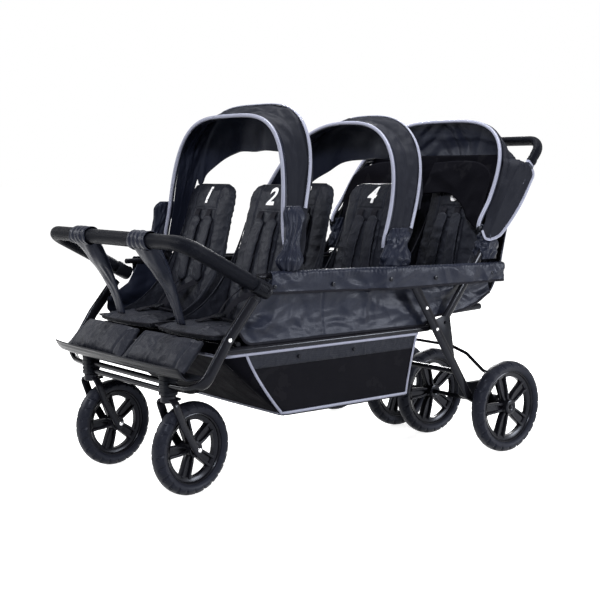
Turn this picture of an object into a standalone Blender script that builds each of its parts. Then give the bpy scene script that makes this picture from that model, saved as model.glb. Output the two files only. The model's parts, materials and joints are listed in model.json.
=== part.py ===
"""Six-seat stroller: three rows of two seats on a folding frame of steel tube, with six wheels.

Metres, +Z up. The front faces -Y, the left side is +X and the wheels stand on Z = 0.
Where a pair is the same on both sides, SIDES gives the sign of X.
"""

import math

import bmesh
import bpy
from mathutils import Matrix, Vector

SIDES = {"left": 1, "right": -1}

# Clearances
TOUCH = 0.0003
RUNNING = 0.0005

# How far one welded member runs into the next
WELD = 0.002
BAR_SINK = 0.004

# Rear wheels and axle
REAR_WHEEL_RADIUS = 0.1433
REAR_AXLE_Y = 0.48
OUTER_WHEEL_X = 0.4085
INNER_WHEEL_X = 0.0786

# Front casters
FRONT_WHEEL_RADIUS = 0.1286
CASTER_X = 0.211
CASTER_Y = -0.638
CASTER_TRAIL = 0.077
CASTER_TURN = math.radians(8)
CROWN_RADIUS = 0.021
CROWN_GAP = 0.008
CROWN_HEIGHT = 0.020
STEM_RADIUS = 0.009
STEM_LENGTH = 0.040
HEAD_RADIUS = 0.0225
HEAD_HEIGHT = 0.055
FORK_ARM = (0.0045, 0.0120)
LOCK_TAB = (0.020, 0.016, 0.008)

# Wheels
TYRE_WIDTH = 0.048
TYRE_DEPTH = 0.031
TYRE_SIDES = 24
RIM_DEPTH = 0.013
RIM_WIDTH = 0.034
SPOKE_WIDTH = 0.024
SPOKES = 5
HUB_RADIUS = 0.024
HUB_LENGTH = 0.050
AXLE_RADIUS = 0.007
HUB_CAP = 0.004

# Side frames, layered from the seats outwards
RAIL_X = 0.343
RAIL_RADIUS = 0.008
HANDLE_X = 0.3615
HANDLE_TUBE = (0.006, 0.014)
LEG_X = 0.3755
LEG_TUBE = (0.006, 0.015)
FRONT_X = 0.362
FRONT_TUBE = (0.008, 0.016)
RAIL_FRONT_Z = 0.5986
RAIL_REAR = (0.470, 0.5820)
FRONT_TUBE_KNEE = (-0.548, 0.442)
FRONT_TUBE_FOOT = (-0.621, 0.332)
HEAD_JOINT_Z = 0.309
HEAD_BARS = (0.010, 0.033)
LOWER_RAIL_Z = 0.408
LOWER_RAIL_RADIUS = 0.010
LOWER_RAIL_END = (0.330, 0.436, 0.455)
LOWER_RAIL_X = FRONT_X - FRONT_TUBE[0] - TOUCH - LOWER_RAIL_RADIUS
LEG_TOP = (0.078, 0.589)
STUD_DROP = 0.004
LEG_SLOPE = -1.5
LEG_FOOT_Z = 0.187
LEG_BAR_Z = 0.268
STUD_RADIUS = 0.006
BRACKET_RADIUS = 0.030
BRACKET_THICK = 0.018

# Push handle
HINGE = (0.244, 0.424)
HANDLE_SLOPE = 1.24
HANDLE_CORNER_Y = 0.6879
HANDLE_BEND = 0.050
GRIP_RADIUS = 0.017
GRIP_DROP = 0.045
PLATE_SIZE = (0.084, 0.120)
PIN_RADIUS = 0.005
HOOD_BRACKET = 0.004
LOCK_KNOB = (0.011, 0.0100)

# Seats
SEAT_X = 0.161
SEAT_PITCH = 0.385
ROWS = 3
FIRST_HINGE_Y = -0.335
THIRD_ROW_SETBACK = 0.008
SEAT_BAR_RADIUS = 0.008
CUSHION_HALF_WIDTH = 0.146
CUSHION_DEPTH = 0.185
CUSHION_THICKNESS = 0.024
CUSHION_CROWN = 0.014
CUSHION_BOW = 0.022
BACK_TILT = math.radians(15.2)
BACK_TOP_Z = 0.841
BACK_HALF_WIDTHS = (0.128, 0.113)
BACK_FOOT_DEPTH = 0.034
BACK_THICKNESS = 0.022
BACK_CROWN = 0.012

# Footrest
TRAY_HALF_WIDTH = 0.330
TRAY_THICKNESS = 0.005
TRAY_LIP = (-0.7015, 0.378)
TRAY_REAR = (-0.596, 0.343)
PAD_THICKNESS = 0.022

# Bumper bar
BUMPER_END = (-0.452, 0.5745)
BUMPER_KNEE = (-0.590, 0.648)
BUMPER_FRONT = (-0.6790, 0.6950)
BUMPER_FOAM = 0.0205
BUMPER_TUBE = 0.010
CLAMP_RADIUS = 0.0225
CLAMP_LENGTH = 0.050
SOCKET_DEPTH = 0.026
BUMPER_BITE = 0.010
CLAMP_SETBACK = 0.012
BUTTON_RADIUS = 0.0065
BUTTON_DEPTH = 0.006
BUTTON_TRAVEL = 0.003
BAND_HALF_WIDTHS = (0.038, 0.020)
BAND_THICKNESS = 0.0025
BAND_SIDES = 12

# Canopies: fabric arches, each a row of (half width, exponent, foot Y, lean, top Z)
ARCH_1 = (0.289, 3.6, -0.322, 0.101, 1.036)
ARCH_1_REAR = (0.291, 3.6, -0.262, 0.160, 1.064)
ARCH_2 = (0.331, 2.5, 0.009, 0.395, 1.028)
ARCH_2_REAR = (0.331, 2.6, 0.105, 0.360, 1.044)
ARCH_3 = (0.346, 3.2, 0.363, 0.583, 1.044)
ARCH_BASE_Z = 0.620
BOW_X = 0.3255
BOW_THICKNESS = 0.0025
BOW_WIDTH = 0.005
FOOT_RADIUS = 0.011
FOOT_SPREAD = 0.090
CLIP_RADIUS = 0.013
CLIP_WIDTH = 0.0110
COVER_THICKNESS = 0.004
FOOT_STRIP = COVER_THICKNESS + 2 * TOUCH
VALANCE_DROP = 0.130
HOOD_PIVOT_Z = 0.700
HOOD_BACK = (0.622, 0.845)
HOOD_BULGE = 0.026
HOOD_WING_Z = (0.680, 0.900)
HOOD_WING_BACK = 0.030

# Side fabric
PANEL_THICKNESS = 0.003
FLAP_THICKNESS = 0.003
CURTAIN_HALF = 0.334
CURTAIN_DRAW = 0.030
CURTAIN_FOLDS = [(0.604, 0.782), (0.586, 0.705), (0.566, 0.626), (0.549, 0.567), (0.515, 0.505)]
CURTAIN_FOOT = (0.474, 0.480)
FLAP_EDGE = 0.0045
FLAP_OUTER_X = (0.3600, 0.3850)
PANEL_FRONT = [(-0.505, 0.103), (-0.432, 0.058), (-0.398, 0)]

# Basket
BASKET_FLOOR_Z = 0.206
BASKET_FLOOR_HALF = 0.322
BASKET_TOP_Y = (-0.560, 0.168)
BASKET_FLOOR_Y = (-0.338, 0.140)
BASKET_THICKNESS = 0.004

# Brake bar
BRAKE_PIVOT = (REAR_AXLE_Y - 0.050, REAR_WHEEL_RADIUS + 0.0717)
BRAKE_RADIUS = 0.0055
BRAKE_OVER_TYRE = 0.0164
BRAKE_BACK_Y = REAR_AXLE_Y + 0.026
BRAKE_BEND = 0.030

# Finishes: colour, roughness, metallic
FINISHES = {
    "black_tube": ((0.012, 0.012, 0.014), 0.28, 0.4),
    "black_plastic": ((0.020, 0.020, 0.023), 0.45, 0.0),
    "rubber": ((0.018, 0.019, 0.023), 0.62, 0.0),
    "foam": ((0.022, 0.023, 0.028), 0.80, 0.0),
    "fabric": ((0.022, 0.023, 0.030), 0.72, 0.0),
    "mesh_fabric": ((0.012, 0.012, 0.014), 0.85, 0.0),
}

CROWN_TOP_Z = 2 * FRONT_WHEEL_RADIUS + CROWN_GAP + CROWN_HEIGHT
CLAMP_DIRECTION = Vector(
    (0, BUMPER_KNEE[0] - BUMPER_END[0], BUMPER_KNEE[1] - BUMPER_END[1])
).normalized()
PANEL_X = RAIL_X + 0.0015


def clear_scene():
    for item in list(bpy.data.objects):
        bpy.data.objects.remove(item, do_unlink=True)


def finish_material(name):
    """One Principled material for each finish."""
    material = bpy.data.materials.get(name)
    if material is None:
        colour, roughness, metallic = FINISHES[name]
        material = bpy.data.materials.new(name)
        material.use_nodes = True
        shader = material.node_tree.nodes["Principled BSDF"]
        shader.inputs["Base Color"].default_value = (*colour, 1)
        shader.inputs["Roughness"].default_value = roughness
        shader.inputs["Metallic"].default_value = metallic
        material.diffuse_color = (*colour, 1)
    return material


def add_object(name, bm, finish, origin=(0, 0, 0)):
    """Makes the mesh an object whose origin is at the point given."""
    bmesh.ops.recalc_face_normals(bm, faces=bm.faces)
    bmesh.ops.translate(bm, verts=bm.verts, vec=-Vector(origin))
    mesh = bpy.data.meshes.new(name)
    bm.to_mesh(mesh)
    bm.free()
    mesh.shade_smooth()
    mesh.set_sharp_from_angle(angle=math.radians(40))
    mesh.materials.append(finish_material(finish))
    made = bpy.data.objects.new(name, mesh)
    made.location = origin
    bpy.context.scene.collection.objects.link(made)
    return made


def solid(builder, *args, **options):
    """A new bmesh filled by one of the builders below."""
    bm = bmesh.new()
    builder(bm, *args, **options)
    return bm


def combined(name, bodies, finish, origin=(0, 0, 0), cutters=()):
    """Joins bodies, given as bmeshes, into one solid, and takes the cutters out of it."""
    base, *others = [add_object(name + "_body", bm, finish) for bm in bodies]
    holes = [add_object(name + "_cutter", bm, finish) for bm in cutters]
    tools = [(other, "UNION") for other in others] + [(hole, "DIFFERENCE") for hole in holes]
    for tool, operation in tools:
        modifier = base.modifiers.new("Boolean", "BOOLEAN")
        modifier.operation = operation
        modifier.solver = "EXACT"
        modifier.object = tool
    bpy.context.view_layer.update()
    graph = bpy.context.evaluated_depsgraph_get()
    result = bmesh.new()
    result.from_mesh(base.evaluated_get(graph).to_mesh())
    for item in (base, *others, *holes):
        bpy.data.objects.remove(item, do_unlink=True)
    bmesh.ops.remove_doubles(result, verts=result.verts, dist=1e-6)
    return add_object(name, result, finish, origin)


def clear_of(radius, sides):
    """Radius of a faceted bore whose flats clear a round piece of this radius."""
    return (radius + TOUCH) / math.cos(math.pi / sides)


def read_line(places, at):
    """Value at a place along a polyline given as (place, value) pairs."""
    for (start, low), (end, high) in zip(places, places[1:]):
        if at <= end:
            return low + (high - low) * max(at - start, 0) / (end - start)
    return places[-1][1]


def side_point(x, place):
    """A point from X and a (Y, Z) pair."""
    return Vector((x, place[0], place[1]))


def rounded_path(points, radius, steps=3):
    """The polyline with an arc of the radius at each inner corner."""
    points = [Vector(p) for p in points]
    path = [points[0]]
    for before, corner, after in zip(points, points[1:], points[2:]):
        inward = (before - corner).normalized()
        outward = (after - corner).normalized()
        half = inward.angle(outward) / 2
        reach = min(
            radius / math.tan(half),
            0.45 * (before - corner).length,
            0.45 * (after - corner).length,
        )
        centre = corner + (inward + outward).normalized() * reach / math.cos(half)
        start = corner + inward * reach - centre
        end = corner + outward * reach - centre
        for i in range(steps + 1):
            path.append(centre + start.slerp(end, i / steps) * start.length)
    path.append(points[-1])
    return path


def ring_at(bm, centre, normal, binormal, half, sides):
    half_n, half_b = half
    ring = []
    for k in range(sides):
        angle = 2 * math.pi * k / sides
        offset = normal * half_n * math.cos(angle) + binormal * half_b * math.sin(angle)
        ring.append(bm.verts.new(centre + offset))
    return ring


def bridge(bm, first, second):
    count = len(first)
    for k in range(count):
        bm.faces.new((first[k], first[(k + 1) % count], second[(k + 1) % count], second[k]))


def frames_along(path, normal):
    """Each point with a normal carried along the path without twist, and its binormal."""
    normal = Vector(normal)
    found = []
    for i, point in enumerate(path):
        behind = path[max(i - 1, 0)]
        ahead = path[min(i + 1, len(path) - 1)]
        tangent = (ahead - behind).normalized()
        normal = (normal - tangent * normal.dot(tangent)).normalized()
        found.append((point, normal, tangent.cross(normal)))
    return found


def swept_bar(bm, path, half, normal=(1, 0, 0), sides=8):
    """A solid bar along the path. Half is one (normal, binormal) pair, or one for each point."""
    halves = [half] * len(path) if isinstance(half, tuple) else half
    rings = [
        ring_at(bm, point, n, b, size, sides)
        for (point, n, b), size in zip(frames_along(path, normal), halves)
    ]
    for first, second in zip(rings, rings[1:]):
        bridge(bm, first, second)
    bm.faces.new(rings[0])
    bm.faces.new(rings[-1])


def swept_sleeve(bm, path, inner, outer, normal=(1, 0, 0), sides=8):
    """A sleeve along the path with an open bore."""
    frames = frames_along(path, normal)
    skins = [
        [ring_at(bm, point, n, b, half, sides) for point, n, b in frames]
        for half in (inner, outer)
    ]
    for rings in skins:
        for first, second in zip(rings, rings[1:]):
            bridge(bm, first, second)
    for end in (0, -1):
        bridge(bm, skins[0][end], skins[1][end])


def straight_bar(bm, start, end, radius, sides=8):
    start, end = Vector(start), Vector(end)
    along = (end - start).normalized()
    guide = Vector((0, 0, 1)) if abs(along.z) < 0.9 else Vector((1, 0, 0))
    swept_bar(bm, [start, end], (radius, radius), along.cross(guide), sides)


def thick_sheet(bm, grid, thickness):
    """A closed sheet of cloth about a grid of points, its rim stitched round."""
    rows, columns = len(grid), len(grid[0])
    skins = []
    for sign in (1, -1):
        skin = []
        for i in range(rows):
            line = []
            for j in range(columns):
                down = grid[min(i + 1, rows - 1)][j] - grid[max(i - 1, 0)][j]
                across = grid[i][min(j + 1, columns - 1)] - grid[i][max(j - 1, 0)]
                offset = down.cross(across).normalized() * sign * thickness / 2
                line.append(bm.verts.new(grid[i][j] + offset))
            skin.append(line)
        skins.append(skin)
    stitch(bm, skins)


def stitch(bm, skins):
    """Closes two matching grids of vertices into one body."""
    rows, columns = len(skins[0]), len(skins[0][0])
    for skin in skins:
        for i in range(rows - 1):
            for j in range(columns - 1):
                bm.faces.new((skin[i][j], skin[i][j + 1], skin[i + 1][j + 1], skin[i + 1][j]))
    rim = [(0, j) for j in range(columns)]
    rim += [(i, columns - 1) for i in range(1, rows)]
    rim += [(rows - 1, j) for j in range(columns - 2, -1, -1)]
    rim += [(i, 0) for i in range(rows - 2, 0, -1)]
    for (i, j), (k, m) in zip(rim, rim[1:] + rim[:1]):
        bm.faces.new((skins[0][i][j], skins[0][k][m], skins[1][k][m], skins[1][i][j]))


def pad_skins(bm, rows, columns, front, back):
    """A pad between two surfaces, each a function of two shares from 0 to 1."""
    skins = []
    for surface in (front, back):
        skins.append(
            [
                [bm.verts.new(surface(i / rows, j / columns)) for j in range(columns + 1)]
                for i in range(rows + 1)
            ]
        )
    stitch(bm, skins)


def turned(bm, profile, sides, centre, axis="Z"):
    """A closed profile of (radius, height) points turned about an axis."""
    rings = []
    for radius, height in profile:
        ring = []
        for k in range(sides):
            angle = 2 * math.pi * (k + 0.5) / sides
            a, b = radius * math.cos(angle), radius * math.sin(angle)
            place = (a, b, height) if axis == "Z" else (height, a, b)
            ring.append(bm.verts.new(Vector(place) + Vector(centre)))
        rings.append(ring)
    return rings


def turned_solid(bm, profile, sides, centre, axis="Z"):
    rings = turned(bm, profile, sides, centre, axis)
    for first, second in zip(rings, rings[1:]):
        bridge(bm, first, second)
    bm.faces.new(rings[0])
    bm.faces.new(rings[-1])


def turned_ring(bm, profile, sides, centre, axis="Z"):
    rings = turned(bm, profile, sides, centre, axis)
    for first, second in zip(rings, rings[1:] + rings[:1]):
        bridge(bm, first, second)


# Wheels


def make_tyre(name, centre, radius):
    """A tyre with rounded shoulders, one of its ribs at the ground."""
    half = TYRE_WIDTH / 2
    seat = radius - TYRE_DEPTH
    profile = [
        (seat, -RIM_WIDTH / 2),
        (seat + 0.45 * TYRE_DEPTH, -half),
        (radius, -half * 0.55),
        (radius, half * 0.55),
        (seat + 0.45 * TYRE_DEPTH, half),
        (seat, RIM_WIDTH / 2),
    ]
    bm = bmesh.new()
    turned_ring(bm, profile, TYRE_SIDES, (0, 0, 0), axis="X")
    half_step = Matrix.Rotation(math.pi / TYRE_SIDES, 4, "X")
    bmesh.ops.transform(bm, matrix=half_step, verts=bm.verts)
    bmesh.ops.translate(bm, verts=bm.verts, vec=centre)
    return add_object(name, bm, "rubber", centre)


def make_rim(name, centre, radius, capped=0):
    """A rim with a hub and spokes. Capped is the side of X on which the hub is closed."""
    bm = bmesh.new()
    cells = SPOKES * 4
    outer = (radius - TYRE_DEPTH) * math.cos(math.pi / TYRE_SIDES) - TOUCH
    radii = [AXLE_RADIUS + RUNNING, HUB_RADIUS, outer - RIM_DEPTH, outer]
    halves = [HUB_LENGTH / 2, HUB_LENGTH / 2, SPOKE_WIDTH / 2, RIM_WIDTH / 2]
    twist = math.pi / cells

    def skin(sign):
        return [
            [
                bm.verts.new(
                    (
                        sign * half,
                        r * math.cos(2 * math.pi * k / cells + twist),
                        r * math.sin(2 * math.pi * k / cells + twist),
                    )
                )
                for k in range(cells)
            ]
            for r, half in zip(radii, halves)
        ]

    skins = {sign: skin(sign) for sign in (-1, 1)}
    for ring in range(3):
        for k in range(cells):
            if ring == 1 and k % 4 not in (0, 1):
                continue
            m = (k + 1) % cells
            for rings in skins.values():
                bm.faces.new((rings[ring][k], rings[ring][m], rings[ring + 1][m], rings[ring + 1][k]))
    for k in range(cells):
        m = (k + 1) % cells
        window = k % 4 not in (0, 1)
        for ring in (0, 3) if not window else (0, 1, 2, 3):
            bm.faces.new((skins[-1][ring][k], skins[-1][ring][m], skins[1][ring][m], skins[1][ring][k]))
        if window != ((k - 1) % 4 not in (0, 1)):
            bm.faces.new((skins[-1][1][k], skins[-1][2][k], skins[1][2][k], skins[1][1][k]))
    if capped:
        close_bore(bm, skins[capped][0], skins[-capped][0], capped)
    bmesh.ops.translate(bm, verts=bm.verts, vec=centre)
    return add_object(name, bm, "black_plastic", centre)


def close_bore(bm, outside, inside, side):
    """Makes the bore blind: a cap closes it on the outer side."""
    count = len(outside)
    for k in range(count):
        edge = bm.edges.get((outside[k], inside[k]))
        bm.edges.remove(edge)
    floor = [bm.verts.new(v.co - Vector((side * HUB_CAP, 0, 0))) for v in outside]
    bridge(bm, inside, floor)
    bm.faces.new(floor)
    bm.faces.new(outside)


def make_rear_wheels():
    places = {
        "left_outer": OUTER_WHEEL_X,
        "left_inner": INNER_WHEEL_X,
        "right_inner": -INNER_WHEEL_X,
        "right_outer": -OUTER_WHEEL_X,
    }
    for name, x in places.items():
        centre = Vector((x, REAR_AXLE_Y, REAR_WHEEL_RADIUS))
        make_tyre("rear_tyre_" + name, centre, REAR_WHEEL_RADIUS)
        capped = int(math.copysign(1, x)) if name.endswith("outer") else 0
        make_rim("rear_rim_" + name, centre, REAR_WHEEL_RADIUS, capped)


def make_rear_axle():
    """The axle runs from the blind bore of one outer hub to the other."""
    bm = bmesh.new()
    end = OUTER_WHEEL_X + HUB_LENGTH / 2 - HUB_CAP - RUNNING
    straight_bar(
        bm,
        (-end, REAR_AXLE_Y, REAR_WHEEL_RADIUS),
        (end, REAR_AXLE_Y, REAR_WHEEL_RADIUS),
        AXLE_RADIUS,
        10,
    )
    add_object("rear_axle", bm, "black_tube")


def make_caster(side):
    """Fork, lock tab and wheel of one caster, modelled straight and then turned to rest."""
    x = SIDES[side] * CASTER_X
    swivel = Vector((x, CASTER_Y, 0))
    wheel_y = CASTER_Y + CASTER_TRAIL
    crown_z = CROWN_TOP_Z - CROWN_HEIGHT
    arm_x = TYRE_WIDTH / 2 + 0.005 + FORK_ARM[0]
    post = bmesh.new()
    profile = [
        (CROWN_RADIUS, crown_z),
        (CROWN_RADIUS, CROWN_TOP_Z - TOUCH),
        (STEM_RADIUS, CROWN_TOP_Z - TOUCH),
        (STEM_RADIUS, CROWN_TOP_Z + STEM_LENGTH),
    ]
    turned_solid(post, profile, 14, (x, CASTER_Y, 0))
    arms = []
    for sign in (-1, 1):
        arm = bmesh.new()
        points = [
            (x + sign * 0.006, CASTER_Y, crown_z + 0.010),
            (x + sign * arm_x, CASTER_Y - 0.004, crown_z + 0.006),
            (x + sign * arm_x, CASTER_Y + 0.30 * CASTER_TRAIL, 0.76 * crown_z),
            (x + sign * arm_x, wheel_y, FRONT_WHEEL_RADIUS - 0.013),
        ]
        swept_bar(arm, rounded_path(points, 0.028, 2), (FORK_ARM[1], FORK_ARM[0]), (0, 1, 0), 8)
        arms.append(arm)
    bolt = bmesh.new()
    reach = arm_x + FORK_ARM[0] + 0.003
    straight_bar(
        bolt,
        (x - reach, wheel_y, FRONT_WHEEL_RADIUS),
        (x + reach, wheel_y, FRONT_WHEEL_RADIUS),
        AXLE_RADIUS,
        10,
    )
    fork = combined("caster_fork_" + side, [post, *arms, bolt], "black_plastic", swivel)
    tab = bmesh.new()
    bmesh.ops.create_cube(tab, size=1)
    bmesh.ops.scale(tab, vec=LOCK_TAB, verts=tab.verts)
    place = (x, CASTER_Y + CROWN_RADIUS + TOUCH + LOCK_TAB[1] / 2, crown_z + 0.0055)
    bmesh.ops.translate(tab, vec=place, verts=tab.verts)
    lock = add_object("caster_lock_" + side, tab, "black_plastic", place)
    centre = Vector((x, wheel_y, FRONT_WHEEL_RADIUS))
    tyre = make_tyre("front_tyre_" + side, centre, FRONT_WHEEL_RADIUS)
    rim = make_rim("front_rim_" + side, centre, FRONT_WHEEL_RADIUS)
    for piece in (lock, tyre, rim):
        piece.parent = fork
        piece.location = piece.location - swivel
    fork.rotation_euler = (0, 0, CASTER_TURN)


def caster_head(bm, x):
    """A turned housing with a blind bore for the fork's stem."""
    bore = STEM_RADIUS + RUNNING
    floor = CROWN_TOP_Z + STEM_LENGTH + RUNNING
    profile = [
        (HEAD_RADIUS, CROWN_TOP_Z + HEAD_HEIGHT),
        (HEAD_RADIUS, CROWN_TOP_Z),
        (bore, CROWN_TOP_Z),
        (bore, floor),
    ]
    turned_solid(bm, profile, 16, (x, CASTER_Y, 0))


# Frame


def rail_z(y):
    """Height of the side rail's centre line."""
    share = (y - BUMPER_END[0]) / (RAIL_REAR[0] - BUMPER_END[0])
    return RAIL_FRONT_Z + share * (RAIL_REAR[1] - RAIL_FRONT_Z)


def leg_y(z):
    """Y of the rear leg's centre line."""
    return LEG_TOP[0] + (z - LEG_TOP[1]) / LEG_SLOPE


def handle_z(y):
    """Height of the push handle's centre line."""
    return HINGE[1] + (y - HINGE[0]) * HANDLE_SLOPE


def handle_y(z):
    return HINGE[0] + (z - HINGE[1]) / HANDLE_SLOPE


def clamp_centre(sign):
    return side_point(sign * FRONT_X, BUMPER_END) - CLAMP_DIRECTION * CLAMP_SETBACK


def rail_front_y():
    """Where the rail's end meets the outside of the bumper clamp."""
    centre = clamp_centre(1)
    reach = math.sqrt((CLAMP_RADIUS + RAIL_RADIUS + TOUCH) ** 2 - (FRONT_X - RAIL_X) ** 2)
    rise = RAIL_FRONT_Z - centre.z
    return centre.y + (reach + rise * CLAMP_DIRECTION.y) / CLAMP_DIRECTION.z


def make_side_rails():
    """The rails, each with the two clips that carry the pins of the first two canopies."""
    clip_inner = BOW_X + BOW_THICKNESS + 2 * TOUCH + FOOT_STRIP
    for side, sign in SIDES.items():
        start = Vector((sign * RAIL_X, rail_front_y(), RAIL_FRONT_Z))
        bodies = [solid(straight_bar, start, side_point(sign * RAIL_X, RAIL_REAR), RAIL_RADIUS)]
        for front, rear in ((ARCH_1, ARCH_1_REAR), (ARCH_2, ARCH_2_REAR)):
            inner = side_point(sign * clip_inner, canopy_pivot(front, rear))
            outer = inner + Vector((sign * CLIP_WIDTH, 0, 0))
            bodies.append(solid(straight_bar, inner, outer, CLIP_RADIUS, 12))
        combined("side_rail_" + side, bodies, "black_tube")


def front_tube(bm, sign):
    """From under the bumper clamp down and in to the caster head."""
    knee = side_point(sign * FRONT_X, FRONT_TUBE_KNEE)
    centre = clamp_centre(sign)
    run = (centre - knee).normalized()
    slant = FRONT_TUBE[1] * abs(run.dot(CLAMP_DIRECTION))
    points = [
        centre - run * (CLAMP_RADIUS + 2 * TOUCH + slant),
        knee,
        side_point(sign * FRONT_X, FRONT_TUBE_FOOT),
        Vector((sign * (FRONT_X - 0.055), CASTER_Y + 0.004, HEAD_JOINT_Z + 0.003)),
        Vector((sign * (CASTER_X + HEAD_RADIUS - WELD), CASTER_Y, HEAD_JOINT_Z)),
    ]
    swept_bar(bm, rounded_path(points, 0.06), FRONT_TUBE)


def make_front_frame():
    """Front tubes, the two caster heads and the pair of bars between them, welded into one."""
    bodies = []
    for sign in SIDES.values():
        bodies.append(solid(caster_head, sign * CASTER_X))
        bodies.append(solid(front_tube, sign))
    half = CASTER_X - HEAD_RADIUS + WELD
    for height in HEAD_BARS:
        place = (CASTER_Y, CROWN_TOP_Z + height)
        bodies.append(
            solid(straight_bar, side_point(-half, place), side_point(half, place), SEAT_BAR_RADIUS)
        )
    combined("front_frame", bodies, "black_tube")


def front_tube_y(z):
    """Y of the straight stretch between the front tube's knee and its foot."""
    share = (z - FRONT_TUBE_KNEE[1]) / (FRONT_TUBE_FOOT[1] - FRONT_TUBE_KNEE[1])
    return FRONT_TUBE_KNEE[0] + share * (FRONT_TUBE_FOOT[0] - FRONT_TUBE_KNEE[0])


def lower_rail_points(sign):
    """Centre line of a lower rail: from the front tube back, then up and in under the third row."""
    inner, rear, height = LOWER_RAIL_END
    return [
        Vector((sign * LOWER_RAIL_X, front_tube_y(LOWER_RAIL_Z), LOWER_RAIL_Z)),
        Vector((sign * LOWER_RAIL_X, leg_y(LOWER_RAIL_Z) + 0.002, LOWER_RAIL_Z)),
        Vector((sign * inner, leg_y(LOWER_RAIL_Z) + 0.032, height - 0.008)),
        Vector((sign * inner, rear, height)),
    ]


def make_lower_frame():
    """The two lower rails and the bars across them, under the front and rear of each row."""
    half = (LOWER_RAIL_RADIUS, LOWER_RAIL_RADIUS)
    bodies = []
    for sign in SIDES.values():
        bodies.append(solid(swept_bar, rounded_path(lower_rail_points(sign), 0.02), half))
    for row in range(ROWS):
        end = (LOWER_RAIL_X if row < ROWS - 1 else LOWER_RAIL_END[0]) - LOWER_RAIL_RADIUS / 2
        for place in (seat_hinge(row), seat_front_bar(row)):
            bodies.append(
                solid(straight_bar, side_point(-end, place), side_point(end, place), SEAT_BAR_RADIUS)
            )
    combined("lower_frame", bodies, "black_tube")


def axle_bracket(bm, sign):
    """A plate from the leg's foot to the axle, on the leg's inner side."""
    centre = Vector((REAR_AXLE_Y, REAR_WHEEL_RADIUS))
    foot_y = leg_y(LEG_FOOT_Z)
    outline = []
    for k in range(9):
        angle = math.radians(-115 + 230 * k / 8)
        outline.append(centre + BRACKET_RADIUS * Vector((math.cos(angle), math.sin(angle))))
    pivot = Vector(BRAKE_PIVOT)
    for lug in ((0.014, -0.006), (0.008, 0.010), (-0.010, 0.012)):
        outline.append(pivot + Vector(lug))
    outline.append(Vector((foot_y + 0.018, LEG_FOOT_Z + 0.040)))
    outline.append(Vector((foot_y - 0.026, LEG_FOOT_Z + 0.050)))
    outline.append(Vector((foot_y - 0.022, LEG_FOOT_Z)))
    inner = LEG_X - LEG_TUBE[0] - BRACKET_THICK
    plate(bm, outline, sign * inner, sign * (inner + BRACKET_THICK + WELD))


def hinge_plate(bm, sign):
    """The plate that carries the push handle's pin, on the leg's inner side."""
    deep, tall = PLATE_SIZE
    outline = [
        Vector((HINGE[0] + 0.020, HINGE[1] + 0.014)),
        Vector((HINGE[0] - 0.012, HINGE[1] + 0.020)),
        Vector((leg_y(HINGE[1]) - 0.014, HINGE[1] + 0.004)),
        Vector((leg_y(HINGE[1] - tall) - 0.010, HINGE[1] - tall)),
        Vector((HINGE[0] + deep / 2, HINGE[1] - tall * 0.92)),
        Vector((HINGE[0] + 0.026, HINGE[1] - 0.020)),
    ]
    inner = HANDLE_X + HANDLE_TUBE[0] + TOUCH
    plate(bm, outline, sign * inner, sign * (LEG_X - LEG_TUBE[0] + WELD))


def plate(bm, outline, first, second):
    """A flat plate between two values of X, its outline given as (Y, Z) pairs."""
    rings = [[bm.verts.new((x, p.x, p.y)) for p in outline] for x in (first, second)]
    bridge(bm, *rings)
    for ring in rings:
        bm.faces.new(ring)


def make_rear_frame():
    """Rear legs with their cross bar, axle plates, hinge plates and pins, and studs to the rails."""
    bodies = []
    cutters = []
    leg_face = LEG_X - LEG_TUBE[0] + WELD
    for sign in SIDES.values():
        top = side_point(sign * LEG_X, LEG_TOP)
        foot = Vector((sign * LEG_X, leg_y(LEG_FOOT_Z), LEG_FOOT_Z))
        bodies.append(solid(swept_bar, [top, foot], LEG_TUBE, sides=10))
        bodies.append(solid(axle_bracket, sign))
        bodies.append(solid(hinge_plate, sign))
        stud_z = rail_z(LEG_TOP[0]) - STUD_DROP
        tips = {
            (leg_y(stud_z), stud_z): RAIL_X + RAIL_RADIUS + TOUCH,
            (leg_y(LOWER_RAIL_Z), LOWER_RAIL_Z): LOWER_RAIL_X + LOWER_RAIL_RADIUS + TOUCH,
        }
        for place, tip in tips.items():
            start, end = side_point(sign * tip, place), side_point(sign * leg_face, place)
            bodies.append(solid(straight_bar, start, end, STUD_RADIUS))
        pin = [side_point(sign * x, HINGE) for x in (HANDLE_X - HANDLE_TUBE[0], LEG_X)]
        bodies.append(solid(straight_bar, *pin, PIN_RADIUS))
        bore = [
            Vector((sign * x, REAR_AXLE_Y, REAR_WHEEL_RADIUS))
            for x in (RAIL_X - BRACKET_THICK, OUTER_WHEEL_X)
        ]
        cutters.append(solid(straight_bar, *bore, clear_of(AXLE_RADIUS, 12), 12))
    ends = [Vector((sign * LEG_X, leg_y(LEG_BAR_Z), LEG_BAR_Z)) for sign in SIDES.values()]
    bodies.insert(1, solid(straight_bar, *ends, SEAT_BAR_RADIUS))
    combined("rear_frame", bodies, "black_tube", cutters=cutters)


def seat_hinge(row):
    """Y and Z of the bar at the foot of a row's backrests."""
    third = row == ROWS - 1
    y = FIRST_HINGE_Y + row * SEAT_PITCH - (THIRD_ROW_SETBACK if third else 0)
    rail = LOWER_RAIL_Z if not third else LOWER_RAIL_END[2] - 0.002
    return y, rail + LOWER_RAIL_RADIUS - BAR_SINK + SEAT_BAR_RADIUS


def seat_front_bar(row):
    """Y and Z of the bar under the front of a row's cushions."""
    y, z = seat_hinge(row)
    return y - CUSHION_DEPTH + 0.020, z - (0.009 if row == ROWS - 1 else 0)


# Push handle


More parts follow.
